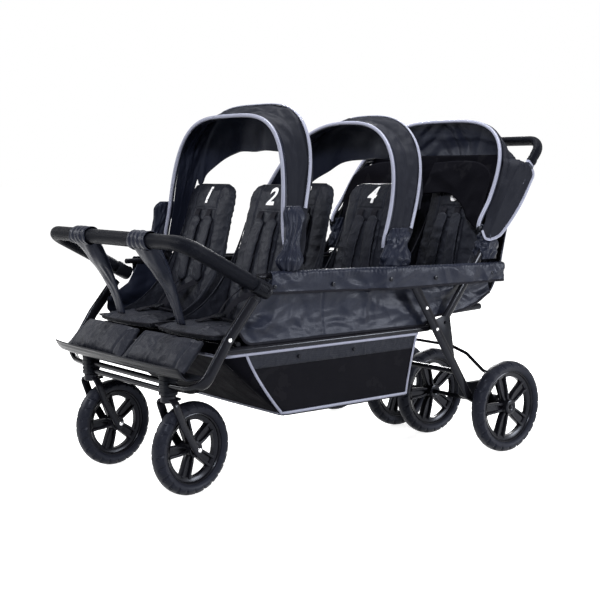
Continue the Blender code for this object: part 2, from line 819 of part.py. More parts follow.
def handle_path():
    """The tube's centre line from one hinge over the grip to the other."""
    corner = (HANDLE_CORNER_Y, handle_z(HANDLE_CORNER_Y))
    run = Vector((0, corner[0] - HINGE[0], corner[1] - HINGE[1])).normalized()
    points = []
    for sign in (1, -1):
        foot = side_point(sign * HANDLE_X, HINGE) - run * 0.016
        knee = side_point(sign * HANDLE_X, corner)
        points += [foot, knee] if sign > 0 else [knee, foot]
    return rounded_path(points, HANDLE_BEND, 4)


def make_push_handle():
    """The tube, bored for its hinge pins, and the brackets that carry the hood's bow."""
    bodies = [solid(swept_bar, handle_path(), HANDLE_TUBE)]
    cutters = []
    face = HANDLE_X - HANDLE_TUBE[0]
    pivot_y, pivot_z = hood_pivot()
    tube_y = handle_y(pivot_z)
    outline = [
        Vector((pivot_y - 0.010, pivot_z - 0.008)),
        Vector((pivot_y - 0.010, pivot_z + 0.008)),
        Vector((tube_y + 0.006, pivot_z + 0.008)),
        Vector((tube_y, pivot_z - 0.008)),
    ]
    for sign in SIDES.values():
        bodies.append(solid(plate, outline, sign * (face - HOOD_BRACKET), sign * (face + WELD)))
        hole = [side_point(sign * x, HINGE) for x in (face - 0.02, face + 0.04)]
        cutters.append(solid(straight_bar, *hole, PIN_RADIUS + RUNNING))
    combined("push_handle", bodies, "black_tube", (0, *HINGE), cutters)


def make_handle_grip():
    """Foam round the cross part of the handle and a little way down both sides."""
    path = handle_path()
    run = (path[1] - path[0]).normalized()
    first = path[1] - run * GRIP_DROP
    last = path[-2] - (path[-2] - path[-1]).normalized() * GRIP_DROP
    route = [first, *path[1:-1], last]
    inner = tuple(size + TOUCH for size in HANDLE_TUBE)
    outer = (GRIP_RADIUS - 0.003, GRIP_RADIUS)
    bm = bmesh.new()
    swept_sleeve(bm, route, inner, outer)
    add_object("handle_grip", bm, "foam", (0, *HINGE))


def make_fold_locks():
    """A knob on each hinge, inside the handle tube, that is pulled inwards to free the fold."""
    radius, width = LOCK_KNOB
    for side, sign in SIDES.items():
        bm = bmesh.new()
        start = sign * (HANDLE_X - HANDLE_TUBE[0] - TOUCH)
        straight_bar(bm, (start, *HINGE), (start - sign * width, *HINGE), radius, 12)
        add_object("fold_lock_" + side, bm, "black_plastic", (start, *HINGE))


# Seats


def cushion_front_y(row):
    """The furthest forward that a row's cushions bow."""
    return seat_hinge(row)[0] - BACK_FOOT_DEPTH - CUSHION_DEPTH - CUSHION_BOW


def seat_number(row, sign):
    """Seats are numbered from the front, the right one of each row first."""
    return 2 * row + (1 if sign < 0 else 2)


def make_cushions():
    """A cushion for each seat, with a crowned top and a front edge that bows forward."""
    for row in range(ROWS):
        y_hinge, z_hinge = seat_hinge(row)
        rear = y_hinge - BACK_FOOT_DEPTH
        front_y, front_z = seat_front_bar(row)
        for sign in (-1, 1):

            def base(u, v):
                across = 2 * v - 1
                drawn = 1 - 0.04 * math.sin(math.pi * u)
                x = sign * SEAT_X + CUSHION_HALF_WIDTH * drawn * across
                bow = CUSHION_BOW * (1 - across * across) * (1 - u)
                y = rear - CUSHION_DEPTH * (1 - u) - bow
                along = (y - front_y) / (y_hinge - front_y)
                height = front_z + (z_hinge - front_z) * along + SEAT_BAR_RADIUS + TOUCH
                return Vector((x, y, height))

            def top(u, v):
                across = abs(2 * v - 1)
                share = (1 - across**4) * (1 - abs(2 * u - 1) ** 4)
                channel = 0.004 if 0.2 < across < 0.45 else 0
                rise = CUSHION_THICKNESS * 0.6 + (CUSHION_THICKNESS * 0.4 + CUSHION_CROWN) * share
                return base(u, v) + Vector((0, 0, rise - channel * share))

            name = "seat_cushion_%d" % seat_number(row, sign)
            add_object(name, solid(pad_skins, 6, 8, top, base), "fabric")


def make_backrests():
    """Six backrests that lean back, narrower towards a top with round corners."""
    for row in range(ROWS):
        y_hinge, z_hinge = seat_hinge(row)
        for sign in (-1, 1):
            hinge = Vector((sign * SEAT_X, y_hinge, z_hinge))
            up = Vector((0, math.sin(BACK_TILT), math.cos(BACK_TILT)))
            ahead = Vector((0, -math.cos(BACK_TILT), math.sin(BACK_TILT)))
            length = (BACK_TOP_Z - z_hinge) / math.cos(BACK_TILT)
            foot = SEAT_BAR_RADIUS + TOUCH

            def half_width(share):
                low, high = BACK_HALF_WIDTHS
                width = low + (high - low) * min(max((share - 0.35) / 0.35, 0), 1)
                corner = max(share - 0.86, 0) / 0.14
                return width * (1 - 0.28 * corner**3)

            def rear(u, v):
                share = 1 - (1 - u) ** 1.3
                place = foot + (length - foot) * share
                x = half_width(share) * (2 * v - 1)
                return hinge + Vector((x, 0, 0)) + up * place - ahead * 0.006

            def face(u, v):
                across = abs(2 * v - 1)
                share = (1 - across**4) * (1 - abs(2 * u - 1) ** 6)
                channel = 0.004 if 0.4 < across < 0.6 else 0
                rise = BACK_THICKNESS * 0.6 + (BACK_THICKNESS * 0.4 + BACK_CROWN) * share
                return rear(u, v) + ahead * (rise - channel * share)

            name = "backrest_%d" % seat_number(row, sign)
            add_object(name, solid(pad_skins, 8, 8, face, rear), "fabric", hinge)


def make_calf_pad():
    """A pad with a lobe for each front seat, hung from the seats down to the footrest tray."""
    top = Vector((0, cushion_front_y(0) - 2 * TOUCH, seat_front_bar(0)[1] + SEAT_BAR_RADIUS))
    foot = Vector((0, TRAY_REAR[0] - 0.028, TRAY_REAR[1] + TRAY_THICKNESS + 0.012))
    run = (foot - top).normalized()
    ahead = Vector((0, run.z, -run.y))

    def back(u, v):
        half = SEAT_X + CUSHION_HALF_WIDTH - 0.012 * (1 - u) ** 2
        return Vector((half * (2 * v - 1), 0, 0)) + top.lerp(foot, u)

    def face(u, v):
        lobe = abs(2 * (2 * v % 1) - 1)
        share = (1 - lobe**4) * (1 - abs(2 * u - 1) ** 4)
        return back(u, v) + ahead * PAD_THICKNESS * (0.45 + 0.55 * share)

    add_object("calf_pad", solid(pad_skins, 5, 12, face, back), "fabric")


# Footrest and bumper bar


def make_tray():
    """A moulded tray on the caster heads, its front edge turned up into a lip."""
    bm = bmesh.new()
    head_top = CROWN_TOP_Z + HEAD_HEIGHT + TOUCH + TRAY_THICKNESS / 2
    columns = 10
    section = [
        (TRAY_REAR[0], TRAY_REAR[1]),
        (CASTER_Y + HEAD_RADIUS + 0.004, head_top),
        (CASTER_Y - HEAD_RADIUS, head_top),
        (-0.684, 0.5 * (head_top + TRAY_LIP[1]) - 0.006),
        TRAY_LIP,
    ]
    grid = []
    for y, z in section:
        line = []
        for j in range(columns + 1):
            across = 2 * j / columns - 1
            back = 0.030 * abs(across) ** 6 * max(-(y + 0.62) / 0.08, 0)
            line.append(Vector((TRAY_HALF_WIDTH * across, y + back, z)))
        grid.append(line)
    thick_sheet(bm, grid, TRAY_THICKNESS)
    add_object("footrest_tray", bm, "black_plastic")


def bumper_path(sign_order=(1, -1)):
    """The bar's centre line between its two sockets."""
    points = []
    for sign in sign_order:
        end = side_point(sign * FRONT_X, BUMPER_END) - CLAMP_DIRECTION * BUMPER_BITE
        knee = side_point(sign * FRONT_X, BUMPER_KNEE)
        front = side_point(sign * (FRONT_X - 0.002), BUMPER_FRONT)
        points += [end, knee, front] if sign > 0 else [front, knee, end]
    return points


def make_bumper_bar():
    """A bent tube whose foam starts at the mouths of the clamps."""
    ends = bumper_path()
    path = rounded_path(ends, 0.075, 4)
    mouth = CLAMP_LENGTH / 2 - CLAMP_SETBACK + BUMPER_BITE
    bare = (BUMPER_TUBE, BUMPER_TUBE)
    foam = (BUMPER_FOAM, BUMPER_FOAM)
    start = path[0] + CLAMP_DIRECTION * (mouth + TOUCH)
    end = path[-1] + CLAMP_DIRECTION * (mouth + TOUCH)
    route = [path[0], start, start + CLAMP_DIRECTION * 0.0005, *path[1:-1]]
    route += [end + CLAMP_DIRECTION * 0.0005, end, path[-1]]
    halves = [bare, bare, foam] + [foam] * (len(path) - 2) + [foam, bare, bare]
    bm = bmesh.new()
    swept_bar(bm, route, halves, sides=8)
    add_object("bumper_bar", bm, "foam", (0, *BUMPER_END))


def make_bumper_clamps():
    """A socket for each end of the bar, with a recess for its button."""
    for side, sign in SIDES.items():
        centre = clamp_centre(sign)
        rear = centre - CLAMP_DIRECTION * CLAMP_LENGTH / 2
        mouth = centre + CLAMP_DIRECTION * CLAMP_LENGTH / 2
        body = solid(straight_bar, rear, mouth, CLAMP_RADIUS, 12)
        depth = mouth - CLAMP_DIRECTION * SOCKET_DEPTH
        far = mouth + CLAMP_DIRECTION * 0.01
        socket = solid(straight_bar, depth, far, clear_of(BUMPER_TUBE, 10), 10)
        button = button_place(sign)
        recess_start = button - Vector((sign * (BUTTON_TRAVEL + RUNNING), 0, 0))
        recess_end = button + Vector((sign * 0.02, 0, 0))
        recess = solid(straight_bar, recess_start, recess_end, BUTTON_RADIUS + RUNNING, 10)
        combined("bumper_clamp_" + side, [body], "black_plastic", cutters=[socket, recess])


def button_place(sign):
    """The middle of a button's hidden end, behind the blind end of the socket."""
    setback = CLAMP_LENGTH / 2 - BUTTON_RADIUS - 0.003
    centre = clamp_centre(sign) - CLAMP_DIRECTION * setback
    return centre + Vector((sign * (CLAMP_RADIUS - BUTTON_DEPTH), 0, 0))


def make_bumper_buttons():
    for side, sign in SIDES.items():
        start = button_place(sign)
        end = start + Vector((sign * (BUTTON_DEPTH + BUTTON_TRAVEL), 0, 0))
        button = solid(straight_bar, start, end, BUTTON_RADIUS, 10)
        add_object("bumper_button_" + side, button, "black_plastic", start)


def make_crotch_bands():
    """Fabric bands: a sleeve round the bar, and a strap from it down to the front seats."""
    bar = Vector((0, *BUMPER_FRONT))
    seat_y = seat_front_bar(0)[0] - 0.070
    seat = Vector((0, seat_y, seat_hinge(0)[1] + SEAT_BAR_RADIUS + CUSHION_THICKNESS + 0.010))
    inner = clear_of(BUMPER_FOAM, BAND_SIDES)
    outer = inner + BAND_THICKNESS
    wide, narrow = BAND_HALF_WIDTHS
    run = (seat - bar).normalized()
    start = bar + run * (inner + BAND_THICKNESS / 2)
    for side, sign in SIDES.items():
        x = sign * SEAT_X
        route = [Vector((x - wide, *BUMPER_FRONT)), Vector((x + wide, *BUMPER_FRONT))]
        sleeve = solid(
            swept_sleeve, route, (inner, inner), (outer, outer), (0, 1, 0), BAND_SIDES
        )
        grid = []
        for i in range(5):
            share = i / 4
            half = wide - 0.001 + (narrow - wide) * min(share * 1.6, 1)
            centre = start.lerp(seat, share) + Vector((x, 0.010 * math.sin(math.pi * share), 0))
            grid.append([centre + Vector((half * (2 * j / 3 - 1), 0, 0)) for j in range(4)])
        strap = solid(thick_sheet, grid, BAND_THICKNESS)
        combined("crotch_band_" + side, [sleeve, strap], "fabric")


# Canopies


def canopy_pivot(front, rear):
    """Y and Z of the pin that carries both bows of a canopy, in its clip on the rail."""
    y = (front[2] + rear[2]) / 2
    return y, rail_z(y) + RAIL_RADIUS + CLIP_RADIUS - WELD


def hood_pivot():
    front = ARCH_3
    return front[2] + front[3] * (HOOD_PIVOT_Z - ARCH_BASE_Z), HOOD_PIVOT_Z


def arch_points(arch, pivot, foot_x, count, grow=0.0):
    """Points over an arch from its left foot to its right foot."""
    half, exponent, base_y, lean, top = arch
    y_pivot, z_pivot = pivot
    rise = top - z_pivot + grow
    points = []
    for k in range(count + 1):
        angle = math.pi * k / count
        cosine, sine = math.cos(angle), math.sin(angle)
        height = rise * abs(sine) ** (2 / exponent)
        low = max(1 - height / (2 * FOOT_SPREAD), 0) ** 2
        width = half + grow + (foot_x - half - grow) * low
        x = width * math.copysign(abs(cosine) ** (2 / exponent), cosine)
        z = z_pivot + height
        y = base_y + lean * (z - ARCH_BASE_Z)
        near = max(1 - height / FOOT_SPREAD, 0)
        points.append(Vector((x, y + (y_pivot - y) * near * near, z)))
    return points


def make_front_bow(name, arch, pivot, foot_x):
    """A flat steel bow with a disc at each foot."""
    points = arch_points(arch, pivot, foot_x, 18)
    for end, sign in ((0, 1), (-1, -1)):
        points[end] = Vector((sign * foot_x, pivot[0], pivot[1] + FOOT_RADIUS - WELD))
    bodies = [solid(swept_bar, points, (BOW_THICKNESS, BOW_WIDTH), sides=6)]
    for sign in SIDES.values():
        face = [side_point(sign * (foot_x + t), pivot) for t in (-BOW_THICKNESS, BOW_THICKNESS)]
        bodies.append(solid(straight_bar, *face, FOOT_RADIUS, 12))
    combined(name, bodies, "black_tube", (0, *pivot))


def make_cover(name, front, rear, pivot):
    """Fabric from just behind the front bow, over the rear bow, with a valance that hangs behind."""
    count = 20
    foot_x = BOW_X + BOW_THICKNESS + TOUCH + FOOT_STRIP / 2
    fore = arch_points(front, pivot, foot_x, count, 0.001)
    aft = arch_points(rear, pivot, foot_x, count, 0.003)
    grid = []
    for k in range(count + 1):
        height = math.sin(math.pi * k / count)
        pucker = 0.003 * math.cos(6 * math.pi * k / count) * height
        start = fore[k] + Vector((0, BOW_WIDTH + 0.0062 - 0.0056 * height, 0))
        end = aft[k] + Vector((0, 0.020 - 0.014 * height, 0))
        middle = start.lerp(end, 0.5) - Vector((0, 0, 0.005 * height))
        drop = VALANCE_DROP * max(height - 0.25, 0) ** 0.7 + 0.004
        hem = end + Vector((0, 0.012 * height + 0.003 + pucker, -drop))
        grid.append([start, middle, end, end.lerp(hem, 0.5) + Vector((0, 0.004, 0)), hem])
    add_object(name, solid(thick_sheet, grid, COVER_THICKNESS), "fabric", (0, *pivot))


def hood_side_row(sign, z):
    """One row of the hood's wing: from the bow leg out in front of the handle tube and round it."""
    share = (z - HOOD_WING_Z[0]) / (HOOD_WING_Z[1] - HOOD_WING_Z[0])
    half_tube = HANDLE_TUBE[1] * math.hypot(1, HANDLE_SLOPE) / HANDLE_SLOPE
    wing_x = HANDLE_X + HANDLE_TUBE[0] + TOUCH + 0.001 + COVER_THICKNESS / 2
    face_x = HANDLE_X - HANDLE_TUBE[0]
    bow_y = ARCH_3[2] + ARCH_3[3] * (z - ARCH_BASE_Z) + BOW_WIDTH + 0.004
    inner_x = face_x + 0.004 if z < HOOD_PIVOT_Z + 0.03 else face_x - 0.008 - 0.016 * share**2
    tube_front = handle_y(z) - half_tube - COVER_THICKNESS
    rear = handle_y(z) + half_tube + HOOD_WING_BACK * math.sin(math.pi * (0.15 + 0.85 * share))
    if share > 0.9:
        rear = tube_front
    front = min(tube_front - 0.004, bow_y + 0.030)
    return [
        Vector((sign * inner_x, bow_y, z)),
        Vector((sign * (inner_x + wing_x) / 2, (bow_y + front) / 2, z)),
        Vector((sign * wing_x, front, z)),
        Vector((sign * wing_x, (front + rear) / 2, z)),
        Vector((sign * wing_x, rear, z)),
    ]


def make_hood():
    """The third canopy: a roof that closes down behind the bow, and wings outside the handle."""
    count = 20
    pivot = hood_pivot()
    foot_x = hood_foot_x()
    low, high = HOOD_WING_Z
    heights = [low + (high - low) * i / 5 for i in range(6)]
    grid = [hood_side_row(1, z) for z in heights]
    for k in range(count + 1):
        fore = arch_points(ARCH_3, pivot, foot_x, count, 0.002)[k]
        if fore.z < high + 0.005:
            continue
        height = math.sin(math.pi * k / count)
        shoulder = min(max((abs(fore.x) - 0.27) / 0.05, 0), 1)
        start = fore + Vector((0, BOW_WIDTH + 0.004, 0))
        end = Vector((1.07 * fore.x, HOOD_BACK[0] - 0.020 * shoulder, HOOD_BACK[1]))
        end.z += (high + 0.005 - HOOD_BACK[1]) * shoulder
        line = []
        for j in range(5):
            share = j / 4
            swell = math.sin(math.pi * share) * HOOD_BULGE * height
            line.append(start.lerp(end, share) + Vector((0, swell, swell * 0.3)))
        grid.append(line)
    grid += [hood_side_row(-1, z) for z in reversed(heights)]
    add_object("canopy_3_cover", solid(thick_sheet, grid, COVER_THICKNESS), "fabric", (0, *HINGE))


def hood_foot_x():
    """X of the hood bow's feet, inside the brackets on the handle."""
    return HANDLE_X - HANDLE_TUBE[0] - HOOD_BRACKET - TOUCH - BOW_THICKNESS


def make_canopies():
    for number, (front, rear) in enumerate(((ARCH_1, ARCH_1_REAR), (ARCH_2, ARCH_2_REAR)), 1):
        pivot = canopy_pivot(front, rear)
        make_front_bow("canopy_%d_front_bow" % number, front, pivot, BOW_X)
        make_cover("canopy_%d_cover" % number, front, rear, pivot)
    make_front_bow("canopy_3_front_bow", ARCH_3, hood_pivot(), hood_foot_x())
    make_hood()


# Side fabric, rear curtain and basket


def panel_bottom(y):
    """Lower edge of the side panel along its length."""
    places = [
        (-0.505, 0.470),
        (-0.498, 0.444),
        (-0.470, 0.4215),
        (0.130, 0.4215),
        (0.200, 0.4420),
        (0.290, 0.4440),
        (0.350, 0.4500),
        (0.415, 0.4700),
        (0.468, 0.5000),
    ]
    return read_line(places, y)


def make_side_panels():
    """Cloth that hangs under each rail, with its main folds."""
    stations = [-0.505, -0.498, -0.470, -0.432, -0.398, -0.36, -0.30, -0.24, -0.17, -0.10]
    stations += [-0.03, 0.04, 0.13, 0.20, 0.29, 0.35, 0.415, 0.468]
    for side, sign in SIDES.items():
        bm = bmesh.new()
        grid = []
        for i, y in enumerate(stations):
            top = rail_z(y) - RAIL_RADIUS - TOUCH - PANEL_THICKNESS * 0.2
            top -= read_line(PANEL_FRONT, y)
            bottom = panel_bottom(y)
            line = []
            for j in range(4):
                share = j / 3
                fold = 0.0025 * math.sin(9 * i) * math.sin(math.pi * share)
                z = top + (bottom - top) * share
                line.append(Vector((sign * (PANEL_X + fold), y, z)))
            grid.append(line)
        thick_sheet(bm, grid, PANEL_THICKNESS)
        add_object("side_panel_" + side, bm, "fabric")


def make_side_flaps():
    """Cloth from the top of each rail, over the leg and down. A slit clears the handle tube."""
    stations = [-0.406, -0.36, -0.29, -0.22, -0.15, -0.08, 0.0, 0.06, 0.12, 0.18, 0.24]
    stations += [0.315, 0.335, 0.385, 0.432, 0.450, 0.485]
    for side, sign in SIDES.items():
        grid = []
        for i, y in enumerate(stations):
            out = min(max((y + 0.10) / 0.12, 0), 1)
            outer = FLAP_OUTER_X[0] + (FLAP_OUTER_X[1] - FLAP_OUTER_X[0]) * out
            crest = rail_z(y) + RAIL_RADIUS + TOUCH + FLAP_THICKNESS / 2
            hem = 0.5515 - 0.014 * min(max((y + 0.415) / 0.45, 0), 1)
            ruffle = 0.0015 * math.sin(7 * i)
            inner = RAIL_X + FLAP_EDGE
            if 0.33 < y < 0.44:
                inner = HANDLE_X + HANDLE_TUBE[0] + FLAP_THICKNESS
            grid.append(
                [
                    Vector((sign * inner, y, crest)),
                    Vector((sign * (inner + outer) / 2, y, crest + 0.001)),
                    Vector((sign * (outer - 0.0035), y, crest)),
                    Vector((sign * outer, y, crest - 0.005)),
                    Vector((sign * (outer + ruffle), y, (crest + hem) / 2)),
                    Vector((sign * outer, y, hem)),
                ]
            )
        add_object("side_flap_" + side, solid(thick_sheet, grid, FLAP_THICKNESS), "fabric")


def make_rear_curtain():
    """Cloth behind the third row, from under the hood down to the seat."""
    section = [(HOOD_BACK[0], HOOD_BACK[1] - 2 * TOUCH), *CURTAIN_FOLDS, CURTAIN_FOOT]
    bm = bmesh.new()
    grid = []
    for i, (y, z) in enumerate(section):
        line = []
        for j in range(11):
            across = 2 * j / 10 - 1
            fold = 0.003 * math.sin(5 * j) * math.sin(math.pi * i / 6)
            draw = CURTAIN_DRAW * abs(across) ** 8
            line.append(Vector((CURTAIN_HALF * across, y - draw + fold, z)))
        grid.append(line)
    thick_sheet(bm, grid, PANEL_THICKNESS)
    add_object("rear_curtain", bm, "fabric")


def rounded_rectangle(half, front, rear, corner, steps=2):
    """Outline in plan, from the front right corner round to the left."""
    points = []
    corners = [(half, rear, 0), (-half, rear, 90), (-half, front, 180), (half, front, 270)]
    for x, y, first in corners:
        centre = (x - math.copysign(corner, x), y - math.copysign(corner, y - (front + rear) / 2))
        for k in range(steps + 1):
            angle = math.radians(first + 90 * k / steps)
            points.append((centre[0] + corner * math.cos(angle), centre[1] + corner * math.sin(angle)))
    return points


def make_basket():
    """An open bag under the seats, its front wall sloping down and back."""
    bm = bmesh.new()
    wall = BASKET_THICKNESS
    rings = []
    for inset in (0, wall):
        levels = [
            (BASKET_FLOOR_Z + inset, BASKET_FLOOR_HALF, BASKET_FLOOR_Y),
            (LOWER_RAIL_Z - LOWER_RAIL_RADIUS - TOUCH, LOWER_RAIL_X, BASKET_TOP_Y),
        ]
        for z, half, (front, rear) in levels if not inset else levels[::-1]:
            outline = rounded_rectangle(half - inset, front + 2 * inset, rear - inset, 0.03)
            rings.append([bm.verts.new((x, y, z)) for x, y in outline])
    for first, second in zip(rings, rings[1:]):
        bridge(bm, first, second)
    bm.faces.new(rings[0])
    bm.faces.new(rings[-1])
    add_object("basket", bm, "mesh_fabric")


def make_brake_bar():
    """A bent rod across the rear, hinged on the axle brackets."""
    end_x = LEG_X - LEG_TUBE[0] - BRACKET_THICK - TOUCH
    over = 2 * REAR_WHEEL_RADIUS + BRAKE_OVER_TYRE
    points = []
    for sign in (1, -1):
        run = [
            (sign * end_x, *BRAKE_PIVOT),
            (sign * (end_x - 0.014), *BRAKE_PIVOT),
            (sign * (end_x - 0.022), BRAKE_BACK_Y - 0.006, BRAKE_PIVOT[1] + 0.017),
            (sign * (OUTER_WHEEL_X - 0.1185), BRAKE_BACK_Y, BRAKE_PIVOT[1] + 0.021),
            (sign * (INNER_WHEEL_X + 0.1364), BRAKE_BACK_Y, over - 0.019),
            (sign * (INNER_WHEEL_X + 0.0614), BRAKE_BACK_Y, over),
        ]
        points += run if sign > 0 else run[::-1]
    bm = bmesh.new()
    half = (BRAKE_RADIUS, BRAKE_RADIUS)
    swept_bar(bm, rounded_path(points, BRAKE_BEND, 1), half, (0, 0, 1), sides=6)
    add_object("brake_bar", bm, "black_tube", (0, *BRAKE_PIVOT))


def main():
    clear_scene()
    make_rear_wheels()
    make_rear_axle()
    for side in SIDES:
        make_caster(side)
    make_front_frame()
    make_lower_frame()
    make_side_rails()
    make_rear_frame()
    make_push_handle()
    make_handle_grip()
    make_fold_locks()
    make_cushions()
    make_backrests()
    make_calf_pad()
    make_tray()
    make_bumper_bar()
    make_bumper_clamps()
    make_bumper_buttons()
    make_crotch_bands()
    make_canopies()
    make_side_panels()
    make_side_flaps()
    make_rear_curtain()
    make_basket()
    make_brake_bar()


main()
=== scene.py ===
"""Looks of the six-seat stroller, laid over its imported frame. Metres, front -Y, left side +X."""

import json
from math import atan2, copysign, cos, degrees, exp, hypot, pi, radians, sin, sqrt, tan

import bmesh
import bpy
from bpy.props import FloatProperty, FloatVectorProperty, PointerProperty
from mathutils import Matrix, Vector, noise
from mathutils.bvhtree import BVHTree

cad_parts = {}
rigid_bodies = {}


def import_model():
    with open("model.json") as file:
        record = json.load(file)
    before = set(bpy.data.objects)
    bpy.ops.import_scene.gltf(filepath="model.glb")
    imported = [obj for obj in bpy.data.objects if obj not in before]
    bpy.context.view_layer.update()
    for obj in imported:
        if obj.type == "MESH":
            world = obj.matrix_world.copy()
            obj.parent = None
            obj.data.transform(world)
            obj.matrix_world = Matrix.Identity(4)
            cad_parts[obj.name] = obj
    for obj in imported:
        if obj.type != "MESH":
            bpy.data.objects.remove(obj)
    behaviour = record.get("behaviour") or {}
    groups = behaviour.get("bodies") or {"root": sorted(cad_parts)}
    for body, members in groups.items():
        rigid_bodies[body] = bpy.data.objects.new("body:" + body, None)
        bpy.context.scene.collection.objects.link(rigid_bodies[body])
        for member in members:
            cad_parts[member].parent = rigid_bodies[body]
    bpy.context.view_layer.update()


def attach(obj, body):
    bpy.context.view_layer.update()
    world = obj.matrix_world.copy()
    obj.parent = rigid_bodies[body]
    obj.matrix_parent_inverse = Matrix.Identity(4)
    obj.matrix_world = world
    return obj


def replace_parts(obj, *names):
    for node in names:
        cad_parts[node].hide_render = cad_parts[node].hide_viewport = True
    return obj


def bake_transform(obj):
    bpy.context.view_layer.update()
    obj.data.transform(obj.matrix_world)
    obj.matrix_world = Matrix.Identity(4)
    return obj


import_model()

bl_info = {"name": "Six-seat stroller", "version": (1, 0, 0), "blender": (4, 5, 0),
    "location": "3D View > Sidebar > Stroller",
    "description": "Builds the visible pieces of a six-seat stroller over its CAD frame",
    "category": "Object"}

SIDES = {"left": 1, "right": -1}
AXIS_X = Vector((1, 0, 0))

# The gap between solids that touch, and how far a pad's points may swell
GAP = 0.0003
PAD_CAP = 0.007

# Wheels and casters
REAR_RADIUS = 0.1433
REAR_Y = 0.48
REAR_PLACES = {"left_outer": 0.4085, "left_inner": 0.0786, "right_inner": -0.0786, "right_outer": -0.4085}
FRONT_RADIUS = 0.1286
CASTER = (0.211, -0.638)
TRAIL = 0.077
TURN = radians(8)
CROWN_Z = 0.2652
CROWN_TOP = 0.2852
HEAD_HALF = 0.0205
HEAD_HEIGHT = 0.055
ARM_X = 0.0335
TYRE_DEPTH = 0.031
TYRE_SECTION = [(0.0, 0.0), (0.0004, 0.006), (0.0016, 0.011), (0.0040, 0.016), (0.0085, 0.0206),
    (0.0150, 0.0238), (0.0215, 0.0232), (0.0265, 0.0208), (0.0300, 0.0178), (0.0310, 0.0150)]

# Side frames
RAIL_X = 0.343
RAIL_ENDS = ((-0.452, 0.5986), (0.470, 0.5820))
LEG_X = 0.3755
LEG_TUBE = (0.006, 0.015)
LEG_TOP = (0.078, 0.589)
LEG_FOOT_Z = 0.187
LEG_SLOPE = 1.5
FRONT_X = 0.362
FRONT_TUBE = (0.008, 0.016)
LOWER_X = 0.3437
LOWER_Z = 0.408
LOWER_RADIUS = 0.010
LOWER_REAR_X = 0.330
HANDLE_X = 0.3615
HANDLE_TUBE = (0.006, 0.014)
HINGE = (0.244, 0.424)
HANDLE_SLOPE = 1.24
HANDLE_CORNER_Y = 0.6879
PLATE_DEPTH = 0.018
BAR_RADIUS = 0.008

# Seats
SEAT_X = 0.161
SEAT_HINGES = ((-0.335, 0.422), (0.050, 0.422), (0.427, 0.467))
SEAT_FRONTS = ((-0.500, 0.422), (-0.115, 0.422), (0.262, 0.458))
CUSHION_HALF = 0.146
CUSHION_DEPTH = 0.185
CUSHION_BOW = 0.022
FOOT_DEPTH = 0.034
SEATS = [(2 * row + (1 if sign < 0 else 2), row, sign) for row in range(3) for sign in (-1, 1)]
BACK_TILT = radians(15.2)
BACK_TOP = 0.841
BACK_HALVES = (0.134, 0.123)
UP = Vector((0, sin(BACK_TILT), cos(BACK_TILT)))
AHEAD = Vector((0, -cos(BACK_TILT), sin(BACK_TILT)))

# Bumper bar
BUMPER_END = (-0.452, 0.5745)
BUMPER_KNEE = (-0.590, 0.648)
BUMPER_FRONT = (-0.6790, 0.6950)
BUMPER_FOAM = 0.0205
CLAMP_WAY = Vector((0, -0.138, 0.0735)).normalized()

# Canopies: half width, exponent, foot Y, lean, top Z
ARCHES = {1: ((0.289, 3.6, -0.322, 0.101, 1.036), (0.291, 3.6, -0.262, 0.160, 1.064)),
    2: ((0.331, 2.5, 0.009, 0.395, 1.028), (0.331, 2.6, 0.105, 0.360, 1.044))}
HOOD_ARCH = (0.346, 3.2, 0.363, 0.583, 1.044)
PIVOTS = {1: (-0.292, 0.6147), 2: (0.057, 0.6084)}
HOOD_PIVOT = (0.40964, 0.700)
ARCH_BASE = 0.620
BOW_X = 0.3255
HOOD_FOOT_X = 0.3487
FOOT_SPREAD = 0.090
VALANCE = 0.155
HOOD_BACK = (0.622, 0.845)
HOOD_WING = (0.680, 0.900)

# Side fabric
PANEL_X = 0.3445
PANEL_BOTTOM = [(-0.505, 0.470), (-0.498, 0.444), (-0.470, 0.4215), (0.130, 0.4205), (0.178, 0.4190),
    (0.216, 0.4400), (0.290, 0.4440), (0.350, 0.4500), (0.415, 0.4700), (0.468, 0.5000)]
SHEET = 0.0016
LINED_SHEET = 0.0018
PANEL_FRONT = [(-0.505, 0.103), (-0.432, 0.058), (-0.398, 0)]
FLAP_X = (0.3600, 0.3850)
CURTAIN = [(0.622, 0.8444), (0.604, 0.782), (0.586, 0.705), (0.566, 0.626), (0.549, 0.567), (0.515, 0.505),
    (0.474, 0.480)]
BASKET_HALF = 0.322
BASKET_LEVELS = (0.2065, 0.3970)


# Numbers and lines


def clamp(value, low=0.0, high=1.0):
    return max(low, min(high, value))


def ease(low, high, value):
    share = clamp((value - low) / (high - low))
    return share * share * (3 - 2 * share)


def read_line(places, at):
    """Value at a place along a polyline given as (place, value) pairs."""
    for (start, low), (end, high) in zip(places, places[1:]):
        if at <= end:
            return low + (high - low) * max(at - start, 0) / (end - start)
    return places[-1][1]


def at_side(x, place):
    """A point from X and a (Y, Z) pair."""
    return Vector((x, place[0], place[1]))


def on_curve(points, share):
    """A point on a smooth curve through the points, from 0 at the first to 1 at the last."""
    spans = len(points) - 1
    place = clamp(share) * spans
    i = min(int(place), spans - 1)
    t = place - i
    p1, p2 = points[i], points[i + 1]
    p0 = points[i - 1] if i else 2 * p1 - p2
    p3 = points[i + 2] if i + 2 <= spans else 2 * p2 - p1
    bend = 2 * p0 - 5 * p1 + 4 * p2 - p3
    twist = 3 * p1 - p0 - 3 * p2 + p3
    return 0.5 * (2 * p1 + (p2 - p0) * t + bend * t * t + twist * t * t * t)


def curve(points, count):
    return [on_curve(points, k / count) for k in range(count + 1)]


